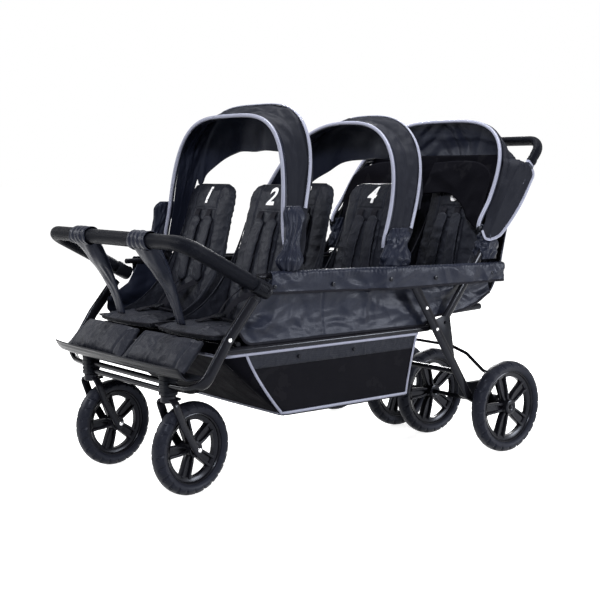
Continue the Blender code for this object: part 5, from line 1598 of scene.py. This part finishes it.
def hood_rows():
    """The rows of the hood from its left wing over the roof to its right wing."""
    low, high = HOOD_WING
    heights = [low + (high - low) * i / 7 for i in range(8)]
    rows = [hood_side(1, z) for z in heights]
    fore, sines = arch_line(HOOD_ARCH, HOOD_PIVOT, HOOD_FOOT_X, 0.002, 0.010)
    for point, height in zip(fore, sines):
        if point.z < high + 0.012:
            continue
        shoulder = clamp((abs(point.x) - 0.27) / 0.05)
        start = point + Vector((0, 0.009, 0))
        end = Vector((1.07 * point.x, HOOD_BACK[0] - 0.020 * shoulder, HOOD_BACK[1]))
        end.z += (high + 0.005 - HOOD_BACK[1]) * shoulder
        line = []
        for j in range(5):
            share = j / 4
            swell = sin(pi * share) * 0.026 * height
            line.append(start.lerp(end, share) + Vector((0, swell, swell * 0.3)))
        rows.append(line)
    rows += [hood_side(-1, z) for z in reversed(heights)]
    return rows


def build_hood():
    rows = hood_rows()
    columns = [[row[j] for row in rows] for j in range(5)]
    centre = Vector((0, 0.50, 0.80))

    def place(u, v):
        point = on_curve([on_curve(column, u) for column in columns], v)
        out = (point - centre).normalized()
        roof = ease(0.93, 1.0, point.z)
        fold = (0.0064 * creased(1.4 * u, 0.30 * v, 0.10, 5.3) + 0.002) * ease(0.0, 0.1, v)
        fold -= 0.004 * exp(-((v - 0.30) / 0.05) ** 2) * roof
        fold *= ease(0, 0.05, min(u, 1 - u)) * (1 - ease(0.92, 1.0, v))
        low = 1 - ease(0.685, 0.760, point.z)
        drop = low * (0.016 * sin(pi * clamp(v)) ** 0.8 - 0.012 * (1 - ease(0.0, 0.25, v)))
        return point + out * fold + Vector((0, 0, -drop))

    hood = draped("hood_cloth", (240, 40), place, (1.55, 0.16), "nylon", None, LINED_SHEET, "lining")
    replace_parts(hood, "canopy_3_cover")
    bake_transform(hood)
    build_bow("hood", HOOD_ARCH, HOOD_PIVOT, HOOD_FOOT_X, 3, (-0.001, 0.0050))
    bm = bmesh.new()
    last = 6.4 / (len(rows) - 1)
    for sign, near in ((1, lambda share: share), (-1, lambda share: 1 - share)):
        out = Vector((sign * 0.0022, 0, 0))
        run = [place(near(0.001), k / 20) + out for k in range(20)]
        run += [place(near(last * k / 20), 0.995) + out for k in range(1, 21)]
        sweep(bm, even_path(curve(run, 80), 0.005), (0.0012, 0.0048), AXIS_X, 10, 4)
        for z in (0.846, 0.898):
            middle = at_side(sign * HANDLE_X, (handle_y(z), z))
            run = (at_side(sign * HANDLE_X, (handle_y(z + 0.01), z + 0.01)) - middle).normalized() * 0.005
            sweep(bm, [middle - run, middle + run], (0.0092, 0.0178), AXIS_X, 20, 2.6)
    piece("hood_wing_piping", bm, "piping", "handle", 60)
    build_hood_lining()


def build_hood_lining():
    """Cloth at the handle tubes, round the bow's feet and inside the hood's corners."""
    for side, sign in SIDES.items():
        places = [(0.352, 0.432, 0.606), (0.352, 0.440, 0.640), (0.350, 0.448, 0.676), (0.347, 0.460, 0.712)]
        line = [Vector((sign * x, y, z)) for x, y, z in places]
        sizes = [Vector((0.040, 0.020, 0)), Vector((0.043, 0.024, 0)), Vector((0.038, 0.018, 0)),
            Vector((0.034, 0.010, 0))]
        cuff("hood_cuff_" + side, "handle", line, sizes, 7.7 * sign)
        run = [at_side(sign * HANDLE_X, (handle_y(z), z)) for z in (0.838, 0.852, 0.872, 0.892, 0.906)]
        halves = [(0.0078, 0.0160), (0.0098, 0.0182), (0.0088, 0.0172), (0.0098, 0.0182), (0.0078, 0.0160)]
        tape("hood_tab_" + side, run, halves, "handle", "nylon", sides=24)
        low = [(0.030, 0.478, 0.800), (0.140, 0.478, 0.806), (0.213, 0.466, 0.772), (0.262, 0.448, 0.728),
            (0.315, 0.432, 0.690)]
        high = [(0.030, 0.535, 0.905), (0.140, 0.532, 0.910), (0.240, 0.520, 0.905), (0.318, 0.490, 0.870),
            (0.336, 0.450, 0.790)]
        low, high = [Vector(q) for q in low], [Vector(q) for q in high]

        def place(u, v):
            point = on_curve(high, u).lerp(on_curve(low, u), v)
            fold = 0.0050 * creased(0.34 * u, 0.16 * v, 0.09, 7.1) * sin(pi * clamp(v, 0, 0.5))
            return Vector((sign * point.x, point.y - fold - 0.004 * sin(pi * v), point.z))

        # The gussets take the shade finish: near-black cloth whose darkness is painted shade inside the hood
        made = draped("hood_gusset_" + side, (48, 24), place, (0.34, 0.14), "shade", "handle", SHEET)

    def back(u, v):
        x = 0.318 * (2 * u - 1)
        across = abs(2 * u - 1)
        fold = 0.0050 * creased(0.64 * u, 0.2 * v, 0.11, 8.1) * sin(pi * v)
        y = 0.566 + 0.036 * v - 0.05 * across**4 * (1 - v)
        return Vector((x, y - 0.008 + fold, 0.800 + (0.930 - 0.800) * v))

    # The back sheet inside the hood takes the same near-black finish, its darkness painted shade
    made = draped("hood_inner_back", (70, 20), back, (0.64, 0.13), "shade", "handle", SHEET)


# Side fabric, curtain and basket


def build_side_panels():
    start, end = -0.505, 0.468
    for side, sign in SIDES.items():

        def place(u, v):
            y = start + (end - start) * u
            top = rail_z(y) - 0.0086 - read_line(PANEL_FRONT, y)
            z = top + (panel_bottom(y) - top) * v
            hang = sin(pi * clamp(v)) ** 0.7
            fold = 0.0085 * creased(y, 1.6 * z, 0.16, 2.9) + 0.0034 * creased(y, 1.4 * z, 0.060, 4.1) - 0.004
            seam = exp(-((y + 0.210) / 0.004) ** 2) * 0.0018
            out = -0.0006 + hang * (fold - 0.001) - seam
            return Vector((sign * (PANEL_X + out), y, z))

        panel = draped("side_cloth_" + side, (230, 44), place, (0.98, 0.16), "nylon", "frame", SHEET)
        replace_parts(panel, "side_panel_" + side)
        run = [place(k / 160, 1.0) + Vector((sign * 0.0006, 0, 0.002)) for k in range(161)]
        run = [place(0.0, 0.1 * k) for k in range(10)] + run
        line = even_path(run, 0.006)
        tape("side_binding_" + side, line, (0.0014, 0.0040), "frame", "webbing", sides=8, power=3)


def panel_bottom(y):
    """Lower edge of the side panel, its corners rounded."""
    near = [read_line(PANEL_BOTTOM, y + d) for d in (-0.012, -0.006, 0, 0.006, 0.012)]
    return sum(near) / len(near) - 0.0035 * (1 - ease(0.19, 0.22, y))


def flap_point(sign, y, v):
    """A point on the side flap: v 0 at its inner top edge and 1 at its hem."""
    out = ease(-0.12, 0.04, y)
    outer = FLAP_X[0] + (FLAP_X[1] - FLAP_X[0]) * out
    crest = rail_z(y) + 0.0125
    hem = 0.5515 - 0.014 * clamp((y + 0.415) / 0.45)
    inner = RAIL_X + 0.0045
    if 0.135 < y < 0.445:
        clear = HANDLE_X + HANDLE_TUBE[0] + 0.003
        inner += (clear - inner) * ease(0.135, 0.160, y) * (1 - ease(0.430, 0.445, y))
    rows = [Vector((sign * inner, y, crest)), Vector((sign * (inner + outer) / 2, y, crest + 0.001)),
        Vector((sign * (outer - 0.0035), y, crest)), Vector((sign * outer, y, crest - 0.006)),
        Vector((sign * outer, y, (crest + hem) / 2)), Vector((sign * outer, y, hem))]
    return on_curve(rows, v)


def build_side_flaps():
    start, end = -0.406, 0.485
    for side, sign in SIDES.items():

        def place(u, v):
            y = start + (end - start) * u
            point = flap_point(sign, y, v)
            gather = sin(2 * pi * y / 0.013 + 4.5 * wobble((y, 0, 3), 14))
            ruche = 0.0012 * gather * (1 - ease(0.45, 0.75, v)) * ease(0.15, 0.35, v)
            crease = 0.0040 * creased(y, 1.6 * point.z, 0.070, 1.2) * ease(0.35, 0.6, v)
            crease += 0.0030 * sin(pi * clamp((v - 0.45) / 0.5))
            body = Vector((sign * ease(0.3, 0.6, v), 0, 1 - ease(0.3, 0.6, v))).normalized()
            return point + body * (ruche + crease - 0.0006)

        flap = draped("flap_cloth_" + side, (300, 26), place, (0.90, 0.09), "nylon", "frame", SHEET)
        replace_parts(flap, "side_flap_" + side)
        run = [place(k / 150, 0.985) + Vector((sign * 0.0008, 0, 0)) for k in range(151)]
        line = even_path(run, 0.006)
        tape("flap_binding_" + side, line, (0.0012, 0.0036), "frame", "webbing", sides=8, power=3)
        bm = bmesh.new()
        for y, z in ((-0.408, 0.574), (-0.192, 0.569), (0.006, 0.573), (0.184, 0.567), (0.430, 0.569)):
            y = max(y, start + 0.010)
            outer = flap_point(sign, y, 0.8)
            spot = Vector((outer.x + sign * 0.0016, y, z - 0.004))
            profile = [(0.0, 0.0016), (0.0028, 0.0018), (0.0036, 0.0028), (0.0052, 0.0026), (0.0060, 0.0012),
                (0.0060, -0.0005)]
            turned(bm, [(r, sign * h) for r, h in profile], spot, "X", 24)
        piece("flap_snaps_" + side, bm, "rim", "frame")


def build_curtain():
    section = [Vector((0, y, z)) for y, z in CURTAIN]

    def place(u, v):
        across = 2 * u - 1
        v = v**1.6
        point = on_curve(section, v)
        hang = sin(pi * v) ** 0.8
        fold = 0.0042 * sin(2 * pi * 6.5 * u + 1.8 * wobble((u * 4, v, 7), 1.5)) * hang
        fold += 0.0036 * creased(0.70 * u, 0.42 * v, 0.17, 6.4) * hang
        return Vector((0.334 * across, point.y - 0.030 * abs(across) ** 8 + fold, point.z))

    curtain = draped("curtain_cloth", (110, 70), place, (0.70, 0.42), "nylon", None, LINED_SHEET, "lining")
    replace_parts(curtain, "rear_curtain")
    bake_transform(curtain)
    bm = bmesh.new()
    for u in (0.004, 0.996):
        run = [place(u, k / 60) for k in range(61)]
        sweep(bm, even_path(run, 0.003), (0.0030, 0.0014), AXIS_X, 8, 3)
    edge = piece("curtain_piping", bm, "piping", None, angle=60)
    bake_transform(edge)


def basket_ring(level):
    """Half width, front and rear of the basket at a share of its height."""
    half = BASKET_HALF + (LOWER_X - BASKET_HALF) * level
    return half, -0.338 + (-0.560 + 0.338) * level, 0.140 + 0.028 * level


def basket_point(u, level, bulge=0.0):
    """A point round the basket: each quarter of u is one wall, from the front left corner back."""
    half, front, rear = basket_ring(level)
    radius = 0.03
    corners = [(half, front), (half, rear), (-half, rear), (-half, front)]
    i = min(int((u % 1) * 4), 3)
    share = (u % 1) * 4 - i
    a, b = Vector(corners[i]), Vector(corners[(i + 1) % 4])
    flat = a.lerp(b, share)
    way = (b - a).normalized()
    out = Vector((way.y, -way.x))
    near = min(share, 1 - share) * (b - a).length
    if near < radius:
        gap = radius - near
        flat -= out * (radius - sqrt(max(radius * radius - gap * gap, 0))) * 0.55
    flat += out * bulge
    low, high = BASKET_LEVELS
    return Vector((flat.x, flat.y, low + (high - low) * level))


def build_basket():
    def wall(u, v):
        sag = -0.0030 * sin(pi * v) * (0.6 + 0.4 * sin(2 * pi * 5 * u))
        crease = -0.0022 * abs(wobble((u * 22, v * 2, 0), 1.0, 61)) * (1 - v)
        return basket_point(u, v, sag + crease)

    bm = bmesh.new()
    verts = patch(bm, 260, 26, wall, (2.4, 0.22))
    bmesh.ops.remove_doubles(bm, verts=verts, dist=1e-5)
    half, front, rear = basket_ring(0)

    def floor(u, v):
        x = (half - 0.010) * (2 * u - 1)
        y = front + 0.010 + (rear - front - 0.020) * v
        dip = 0.0015 * wobble((x, y, 0), 12, 5)
        return Vector((x, y, 0.2082 + max(dip, -0.0012)))

    patch(bm, 30, 26, floor, (0.64, 0.48))
    basket = piece("basket_net", bm, "mesh", "frame", 180, recalc=False)
    thicken(basket, 0.0012)
    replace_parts(basket, "basket")
    bands = bmesh.new()
    for low, high, rows in ((0.76, 1.0, 8), (0.012, 0.07, 3)):
        verts = patch(bands, 240, rows, lambda u, v: wall(u, low + (high - low) * v) + push_out(u),
            (2.4, 0.05))
        bmesh.ops.remove_doubles(bands, verts=verts, dist=1e-5)
    apron = bmesh.new()
    patch(apron, 80, 30, lambda u, v: wall(0.752 + 0.246 * u, v) + push_out(0.9, 0.002), (0.66, 0.28))
    for start, way in ((0.0, 1), (0.75, -1)):
        side = push_out(start + way * 0.01, 0.0026)
        patch(apron, 8, 30, lambda u, v: wall(start + way * (0.0005 + slant(v) * u), v) + side, (0.1, 0.2))
    # The front apron takes the near-black shade finish, darker than the bands and with almost no reflection
    front = cloth_piece("basket_apron", apron, "shade", "frame", 0.0012)
    band = cloth_piece("basket_bands", bands, "seat", "frame", SHEET)
    pipes = bmesh.new()
    for level in (0.985, 0.045):
        loop = [wall(k / 240, level) + push_out(k / 240, 0.0030) for k in range(241)]
        sweep(pipes, even_path(loop, 0.008), (0.0040, 0.0016), (0, 0, 1), 8, 3)
    for start, way in ((0.0, 1), (0.75, -1)):
        run = [wall(start + way * slant(k / 30), k / 30) + push_out(start + way * 0.01, 0.0032)
            for k in range(1, 31)]
        sweep(pipes, even_path(run, 0.008), (0.0040, 0.0016), (0, 1, 0), 8, 3)
    for u in (0.243, 0.507):
        run = [wall(u, k / 30) + push_out(u, 0.0032) for k in range(1, 31)]
        sweep(pipes, even_path(run, 0.008), (0.0040, 0.0016), (0, 1, 0), 8, 3)
    piece("basket_piping", pipes, "piping", "frame", 60)
    snaps = bmesh.new()
    for sign in SIDES.values():
        for y in (-0.30, -0.10):
            spot = Vector((sign * (LOWER_X + 0.0015), y, 0.372))
            profile = [(0.0, 0.002), (0.004, 0.002), (0.0052, 0.0), (0.0052, -0.002)]
            turned(snaps, [(r, sign * h) for r, h in profile], spot, "X", 20)
    piece("basket_snaps", snaps, "rim", "frame")


def slant(level):
    """How far along a side wall its front panel reaches at that share of the height."""
    return 0.003 + 0.024 * level**1.3


def push_out(u, amount=0.0012):
    """A step outwards from the basket's wall at that share of its way round."""
    ways = ((1, 0), (0, 1), (-1, 0), (0, -1))
    x, y = ways[min(int((u % 1) * 4), 3)]
    return Vector((x, y, 0)) * amount


# Stage


def build_stage():
    scene = bpy.context.scene
    scene.view_settings.view_transform = "Standard"
    bm = bmesh.new()
    bmesh.ops.create_grid(bm, x_segments=1, y_segments=1, size=60)
    mesh = bpy.data.meshes.new("floor")
    bm.to_mesh(mesh)
    bm.free()
    floor = bpy.data.objects.new("floor", mesh)
    scene.collection.objects.link(floor)
    mesh.materials.append(floor_material())
    world = bpy.data.worlds.new("studio")
    scene.world = world
    world.use_nodes = True
    tree = world.node_tree
    tree.nodes.clear()
    end = add(tree, "ShaderNodeOutputWorld", (600, 0))
    lit = add(tree, "ShaderNodeBackground", (0, 100), Color=(1, 1, 1, 1), Strength=settings().world_light)
    seen = add(tree, "ShaderNodeBackground", (0, -100), Color=(1, 1, 1, 1), Strength=1.0)
    mix = add(tree, "ShaderNodeMixShader", (300, 0))
    tree.links.new(seen_by_eye(tree), mix.inputs[0])
    tree.links.new(lit.outputs[0], mix.inputs[1])
    tree.links.new(seen.outputs[0], mix.inputs[2])
    tree.links.new(mix.outputs[0], end.inputs[0])
    for name, place, target, size, power in (("key", (2.4, -2.6, 3.0), (0, -0.1, 0.5), 0.7, 150),
            ("fill", (-3.0, -2.6, 2.2), (0, 0, 0.5), 0.9, 70),
            ("top", (-0.4, 0.6, 3.4), (0, 0, 0.5), 0.9, 130),
            ("side", (3.2, 2.4, 1.1), (0.2, 0.1, 0.5), 0.8, 120),
            ("back", (-2.8, 2.8, 2.0), (0, 0.1, 0.6), 0.8, 100)):
        lamp = bpy.data.lights.new(name, "AREA")
        lamp.energy = power * settings().lamp_light
        lamp.size = size
        holder = bpy.data.objects.new(name, lamp)
        holder.location = place
        way = Vector(target) - Vector(place)
        holder.rotation_euler = way.to_track_quat("-Z", "Y").to_euler()
        scene.collection.objects.link(holder)
    camera = bpy.data.cameras.new("camera")
    camera.sensor_width = 36
    camera.lens = 67.97
    camera.clip_end = 200
    eye = bpy.data.objects.new("camera", camera)
    eye.location = (2.7366, -2.2159, 0.87)
    azimuth, pitch = radians(51.265), radians(6.383)
    way = Vector((-sin(azimuth) * cos(pitch), cos(azimuth) * cos(pitch), -sin(pitch)))
    eye.rotation_euler = way.to_track_quat("-Z", "Y").to_euler()
    scene.collection.objects.link(eye)
    scene.camera = eye


def seen_by_eye(tree):
    """One for camera, glossy and transmission rays."""
    rays = add(tree, "ShaderNodeLightPath", (-600, -100))
    first = maths(tree, "MAXIMUM", (-400, 0), rays.outputs["Is Camera Ray"], rays.outputs["Is Glossy Ray"])
    return maths(tree, "MAXIMUM", (-200, 0), first, rays.outputs["Is Transmission Ray"])


def floor_material():
    material = bpy.data.materials.new("studio_floor")
    material.use_nodes = True
    tree = material.node_tree
    tree.nodes.clear()
    end = add(tree, "ShaderNodeOutputMaterial", (600, 0))
    matt = add(tree, "ShaderNodeBsdfDiffuse", (0, 100), Color=(0.80, 0.80, 0.80, 1))
    glow = add(tree, "ShaderNodeEmission", (0, -100), Color=(1, 1, 1, 1), Strength=settings().floor_glow)
    dim = add(tree, "ShaderNodeBsdfDiffuse", (0, 250), Color=(0.30, 0.30, 0.30, 1))
    both = add(tree, "ShaderNodeAddShader", (200, 0))
    mix = add(tree, "ShaderNodeMixShader", (400, 0))
    tree.links.new(matt.outputs[0], both.inputs[0])
    tree.links.new(glow.outputs[0], both.inputs[1])
    tree.links.new(seen_by_eye(tree), mix.inputs[0])
    tree.links.new(dim.outputs[0], mix.inputs[1])
    tree.links.new(both.outputs[0], mix.inputs[2])
    tree.links.new(mix.outputs[0], end.inputs[0])
    return material


# Add-on


def colour(name, description, value):
    return FloatVectorProperty(name=name, description=description, default=value, min=0, max=1, size=3,
        subtype="COLOR")


def measure(name, description, value, unit="NONE"):
    return FloatProperty(name=name, description=description, default=value, unit=unit)


class StrollerSettings(bpy.types.PropertyGroup):
    """Sizes, colours and light that a user may change before building."""

    tube_colour: colour("Tubes", "Gloss paint on the steel tubes", (0.005, 0.005, 0.007))
    plastic_colour: colour("Plastic", "Moulded plastic parts", (0.006, 0.0065, 0.009))
    rim_colour: colour("Rims", "Wheel rims and caster forks", (0.005, 0.005, 0.007))
    tyre_colour: colour("Tyres", "Foam-filled tyres", (0.010, 0.011, 0.017))
    foam_colour: colour("Foam", "Bumper bar and handle foam", (0.004, 0.0045, 0.007))
    seat_colour: colour("Seats", "Woven cloth of the seats", (0.010, 0.011, 0.016))
    nylon_colour: colour("Outer cloth", "Canopies, flaps and side panels", (0.0075, 0.0092, 0.0175))
    lining_colour: colour("Lining", "Inside of the canopies", (0.012, 0.013, 0.018))
    # Near-black cloth colour: inside the hood it is painted shade, darker than the lit lining would render
    shade_colour: colour("Dark lining", "Inside of the hood and front of the basket", (0.003, 0.003, 0.0045))
    piping_colour: colour("Piping", "Light edging tape", (0.22, 0.23, 0.30))
    webbing_colour: colour("Webbing", "Straps and bindings", (0.007, 0.007, 0.010))
    mesh_colour: colour("Net", "Open mesh of the basket", (0.006, 0.006, 0.008))
    bolt_colour: colour("Bolts", "Bare steel heads", (0.62, 0.62, 0.64))
    numeral_colour: colour("Numerals", "Printed seat numbers", (0.86, 0.86, 0.88))
    groove_depth: measure("Tread depth", "Depth of the tread's grooves", 0.0042, "LENGTH")
    voxel: measure("Pad mesh size", "Spacing of a pad's mesh", 0.005, "LENGTH")
    numeral_height: measure("Numeral height", "Height of the seat numbers", 0.050, "LENGTH")
    mesh_threads: measure("Net threads", "How close the net's threads are", 190.0)
    pressure: measure("Stuffing", "Pressure that swells the pads", 4.0)
    world_light: measure("Room light", "Light from all round", 0.30)
    lamp_light: measure("Lamp light", "Factor on all lamps", 1.0)
    floor_glow: measure("Floor white", "White the floor shows", 0.85)


class Undoable:
    """Makes each builder a step that can be undone."""

    bl_options = {"REGISTER", "UNDO"}


class STROLLER_OT_front_frame(Undoable, bpy.types.Operator):
    """Front tubes, caster heads and their bars"""

    bl_idname = "stroller.front_frame"
    bl_label = "Front frame"

    def execute(self, context):
        build_front_frame()
        return {"FINISHED"}


class STROLLER_OT_lower_frame(Undoable, bpy.types.Operator):
    """Lower rails, seat bars and side rails"""

    bl_idname = "stroller.lower_frame"
    bl_label = "Lower frame"

    def execute(self, context):
        build_lower_frame()
        return {"FINISHED"}


class STROLLER_OT_rear_frame(Undoable, bpy.types.Operator):
    """Legs, plates, axle and bolts"""

    bl_idname = "stroller.rear_frame"
    bl_label = "Rear frame"

    def execute(self, context):
        build_rear_frame()
        return {"FINISHED"}


class STROLLER_OT_handle(Undoable, bpy.types.Operator):
    """Handle tube, foam grip and hinge knobs"""

    bl_idname = "stroller.handle"
    bl_label = "Push handle"

    def execute(self, context):
        build_handle()
        return {"FINISHED"}


class STROLLER_OT_brake(Undoable, bpy.types.Operator):
    """The rod behind the rear wheels"""

    bl_idname = "stroller.brake"
    bl_label = "Brake bar"

    def execute(self, context):
        build_brake()
        return {"FINISHED"}


class STROLLER_OT_wheels(Undoable, bpy.types.Operator):
    """Six tyres and their rims"""

    bl_idname = "stroller.wheels"
    bl_label = "Wheels"

    def execute(self, context):
        build_wheels()
        return {"FINISHED"}


class STROLLER_OT_casters(Undoable, bpy.types.Operator):
    """Forks, nuts and lock tabs"""

    bl_idname = "stroller.casters"
    bl_label = "Casters"

    def execute(self, context):
        build_casters()
        return {"FINISHED"}


class STROLLER_OT_cushions(Undoable, bpy.types.Operator):
    """Six seat cushions with welts"""

    bl_idname = "stroller.cushions"
    bl_label = "Cushions"

    def execute(self, context):
        build_cushions()
        return {"FINISHED"}


class STROLLER_OT_backs(Undoable, bpy.types.Operator):
    """Six backrests with side wings"""

    bl_idname = "stroller.backs"
    bl_label = "Backrests"

    def execute(self, context):
        build_backs()
        return {"FINISHED"}


class STROLLER_OT_harnesses(Undoable, bpy.types.Operator):
    """Shoulder pads, straps and buckles"""

    bl_idname = "stroller.harnesses"
    bl_label = "Harnesses"

    def execute(self, context):
        build_harnesses()
        return {"FINISHED"}


class STROLLER_OT_numerals(Undoable, bpy.types.Operator):
    """Printed numbers one to six"""

    bl_idname = "stroller.numerals"
    bl_label = "Seat numbers"

    def execute(self, context):
        build_numerals()
        return {"FINISHED"}


class STROLLER_OT_footrest(Undoable, bpy.types.Operator):
    """The tray and both calf pads"""

    bl_idname = "stroller.footrest"
    bl_label = "Footrest"

    def execute(self, context):
        build_footrest()
        return {"FINISHED"}


class STROLLER_OT_bumper(Undoable, bpy.types.Operator):
    """Foam bar, clamps, buttons and crotch bands"""

    bl_idname = "stroller.bumper"
    bl_label = "Bumper bar"

    def execute(self, context):
        build_bumper()
        return {"FINISHED"}


class STROLLER_OT_canopies(Undoable, bpy.types.Operator):
    """First and second canopies with cuffs"""

    bl_idname = "stroller.canopies"
    bl_label = "Canopies"

    def execute(self, context):
        build_canopies()
        return {"FINISHED"}


class STROLLER_OT_hood(Undoable, bpy.types.Operator):
    """The third canopy on the handle"""

    bl_idname = "stroller.hood"
    bl_label = "Hood"

    def execute(self, context):
        build_hood()
        return {"FINISHED"}


class STROLLER_OT_side_panels(Undoable, bpy.types.Operator):
    """Cloth under each rail"""

    bl_idname = "stroller.side_panels"
    bl_label = "Side panels"

    def execute(self, context):
        build_side_panels()
        return {"FINISHED"}


class STROLLER_OT_side_flaps(Undoable, bpy.types.Operator):
    """Gathered cloth over each rail with snaps"""

    bl_idname = "stroller.side_flaps"
    bl_label = "Side flaps"

    def execute(self, context):
        build_side_flaps()
        return {"FINISHED"}


class STROLLER_OT_curtain(Undoable, bpy.types.Operator):
    """Cloth behind the third row"""

    bl_idname = "stroller.curtain"
    bl_label = "Rear curtain"

    def execute(self, context):
        build_curtain()
        return {"FINISHED"}


class STROLLER_OT_basket(Undoable, bpy.types.Operator):
    """Net basket with bands and piping"""

    bl_idname = "stroller.basket"
    bl_label = "Basket"

    def execute(self, context):
        build_basket()
        return {"FINISHED"}


class STROLLER_OT_stage(Undoable, bpy.types.Operator):
    """Floor, light and camera"""

    bl_idname = "stroller.stage"
    bl_label = "Stage"

    def execute(self, context):
        build_stage()
        return {"FINISHED"}


OPERATORS = [STROLLER_OT_front_frame, STROLLER_OT_lower_frame, STROLLER_OT_rear_frame, STROLLER_OT_handle,
    STROLLER_OT_brake, STROLLER_OT_wheels, STROLLER_OT_casters, STROLLER_OT_cushions, STROLLER_OT_backs,
    STROLLER_OT_harnesses, STROLLER_OT_numerals, STROLLER_OT_footrest, STROLLER_OT_bumper,
    STROLLER_OT_canopies, STROLLER_OT_hood, STROLLER_OT_side_panels, STROLLER_OT_side_flaps,
    STROLLER_OT_curtain, STROLLER_OT_basket, STROLLER_OT_stage]


class STROLLER_PT_build(bpy.types.Panel):
    """Lists the builders in the 3D view's sidebar."""

    bl_label = "Stroller"
    bl_idname = "STROLLER_PT_build"
    bl_space_type = "VIEW_3D"
    bl_region_type = "UI"
    bl_category = "Stroller"

    def draw(self, context):
        for item in OPERATORS:
            self.layout.operator(item.bl_idname)


CLASSES = [StrollerSettings, *OPERATORS, STROLLER_PT_build]


def register():
    for item in CLASSES:
        bpy.utils.register_class(item)
    bpy.types.Scene.stroller = PointerProperty(type=StrollerSettings)


def unregister():
    del bpy.types.Scene.stroller
    for item in reversed(CLASSES):
        bpy.utils.unregister_class(item)


def main():
    register()
    for item in OPERATORS:
        family, name = item.bl_idname.split(".")
        getattr(getattr(bpy.ops, family), name)()


if __name__ == "__main__":
    main()
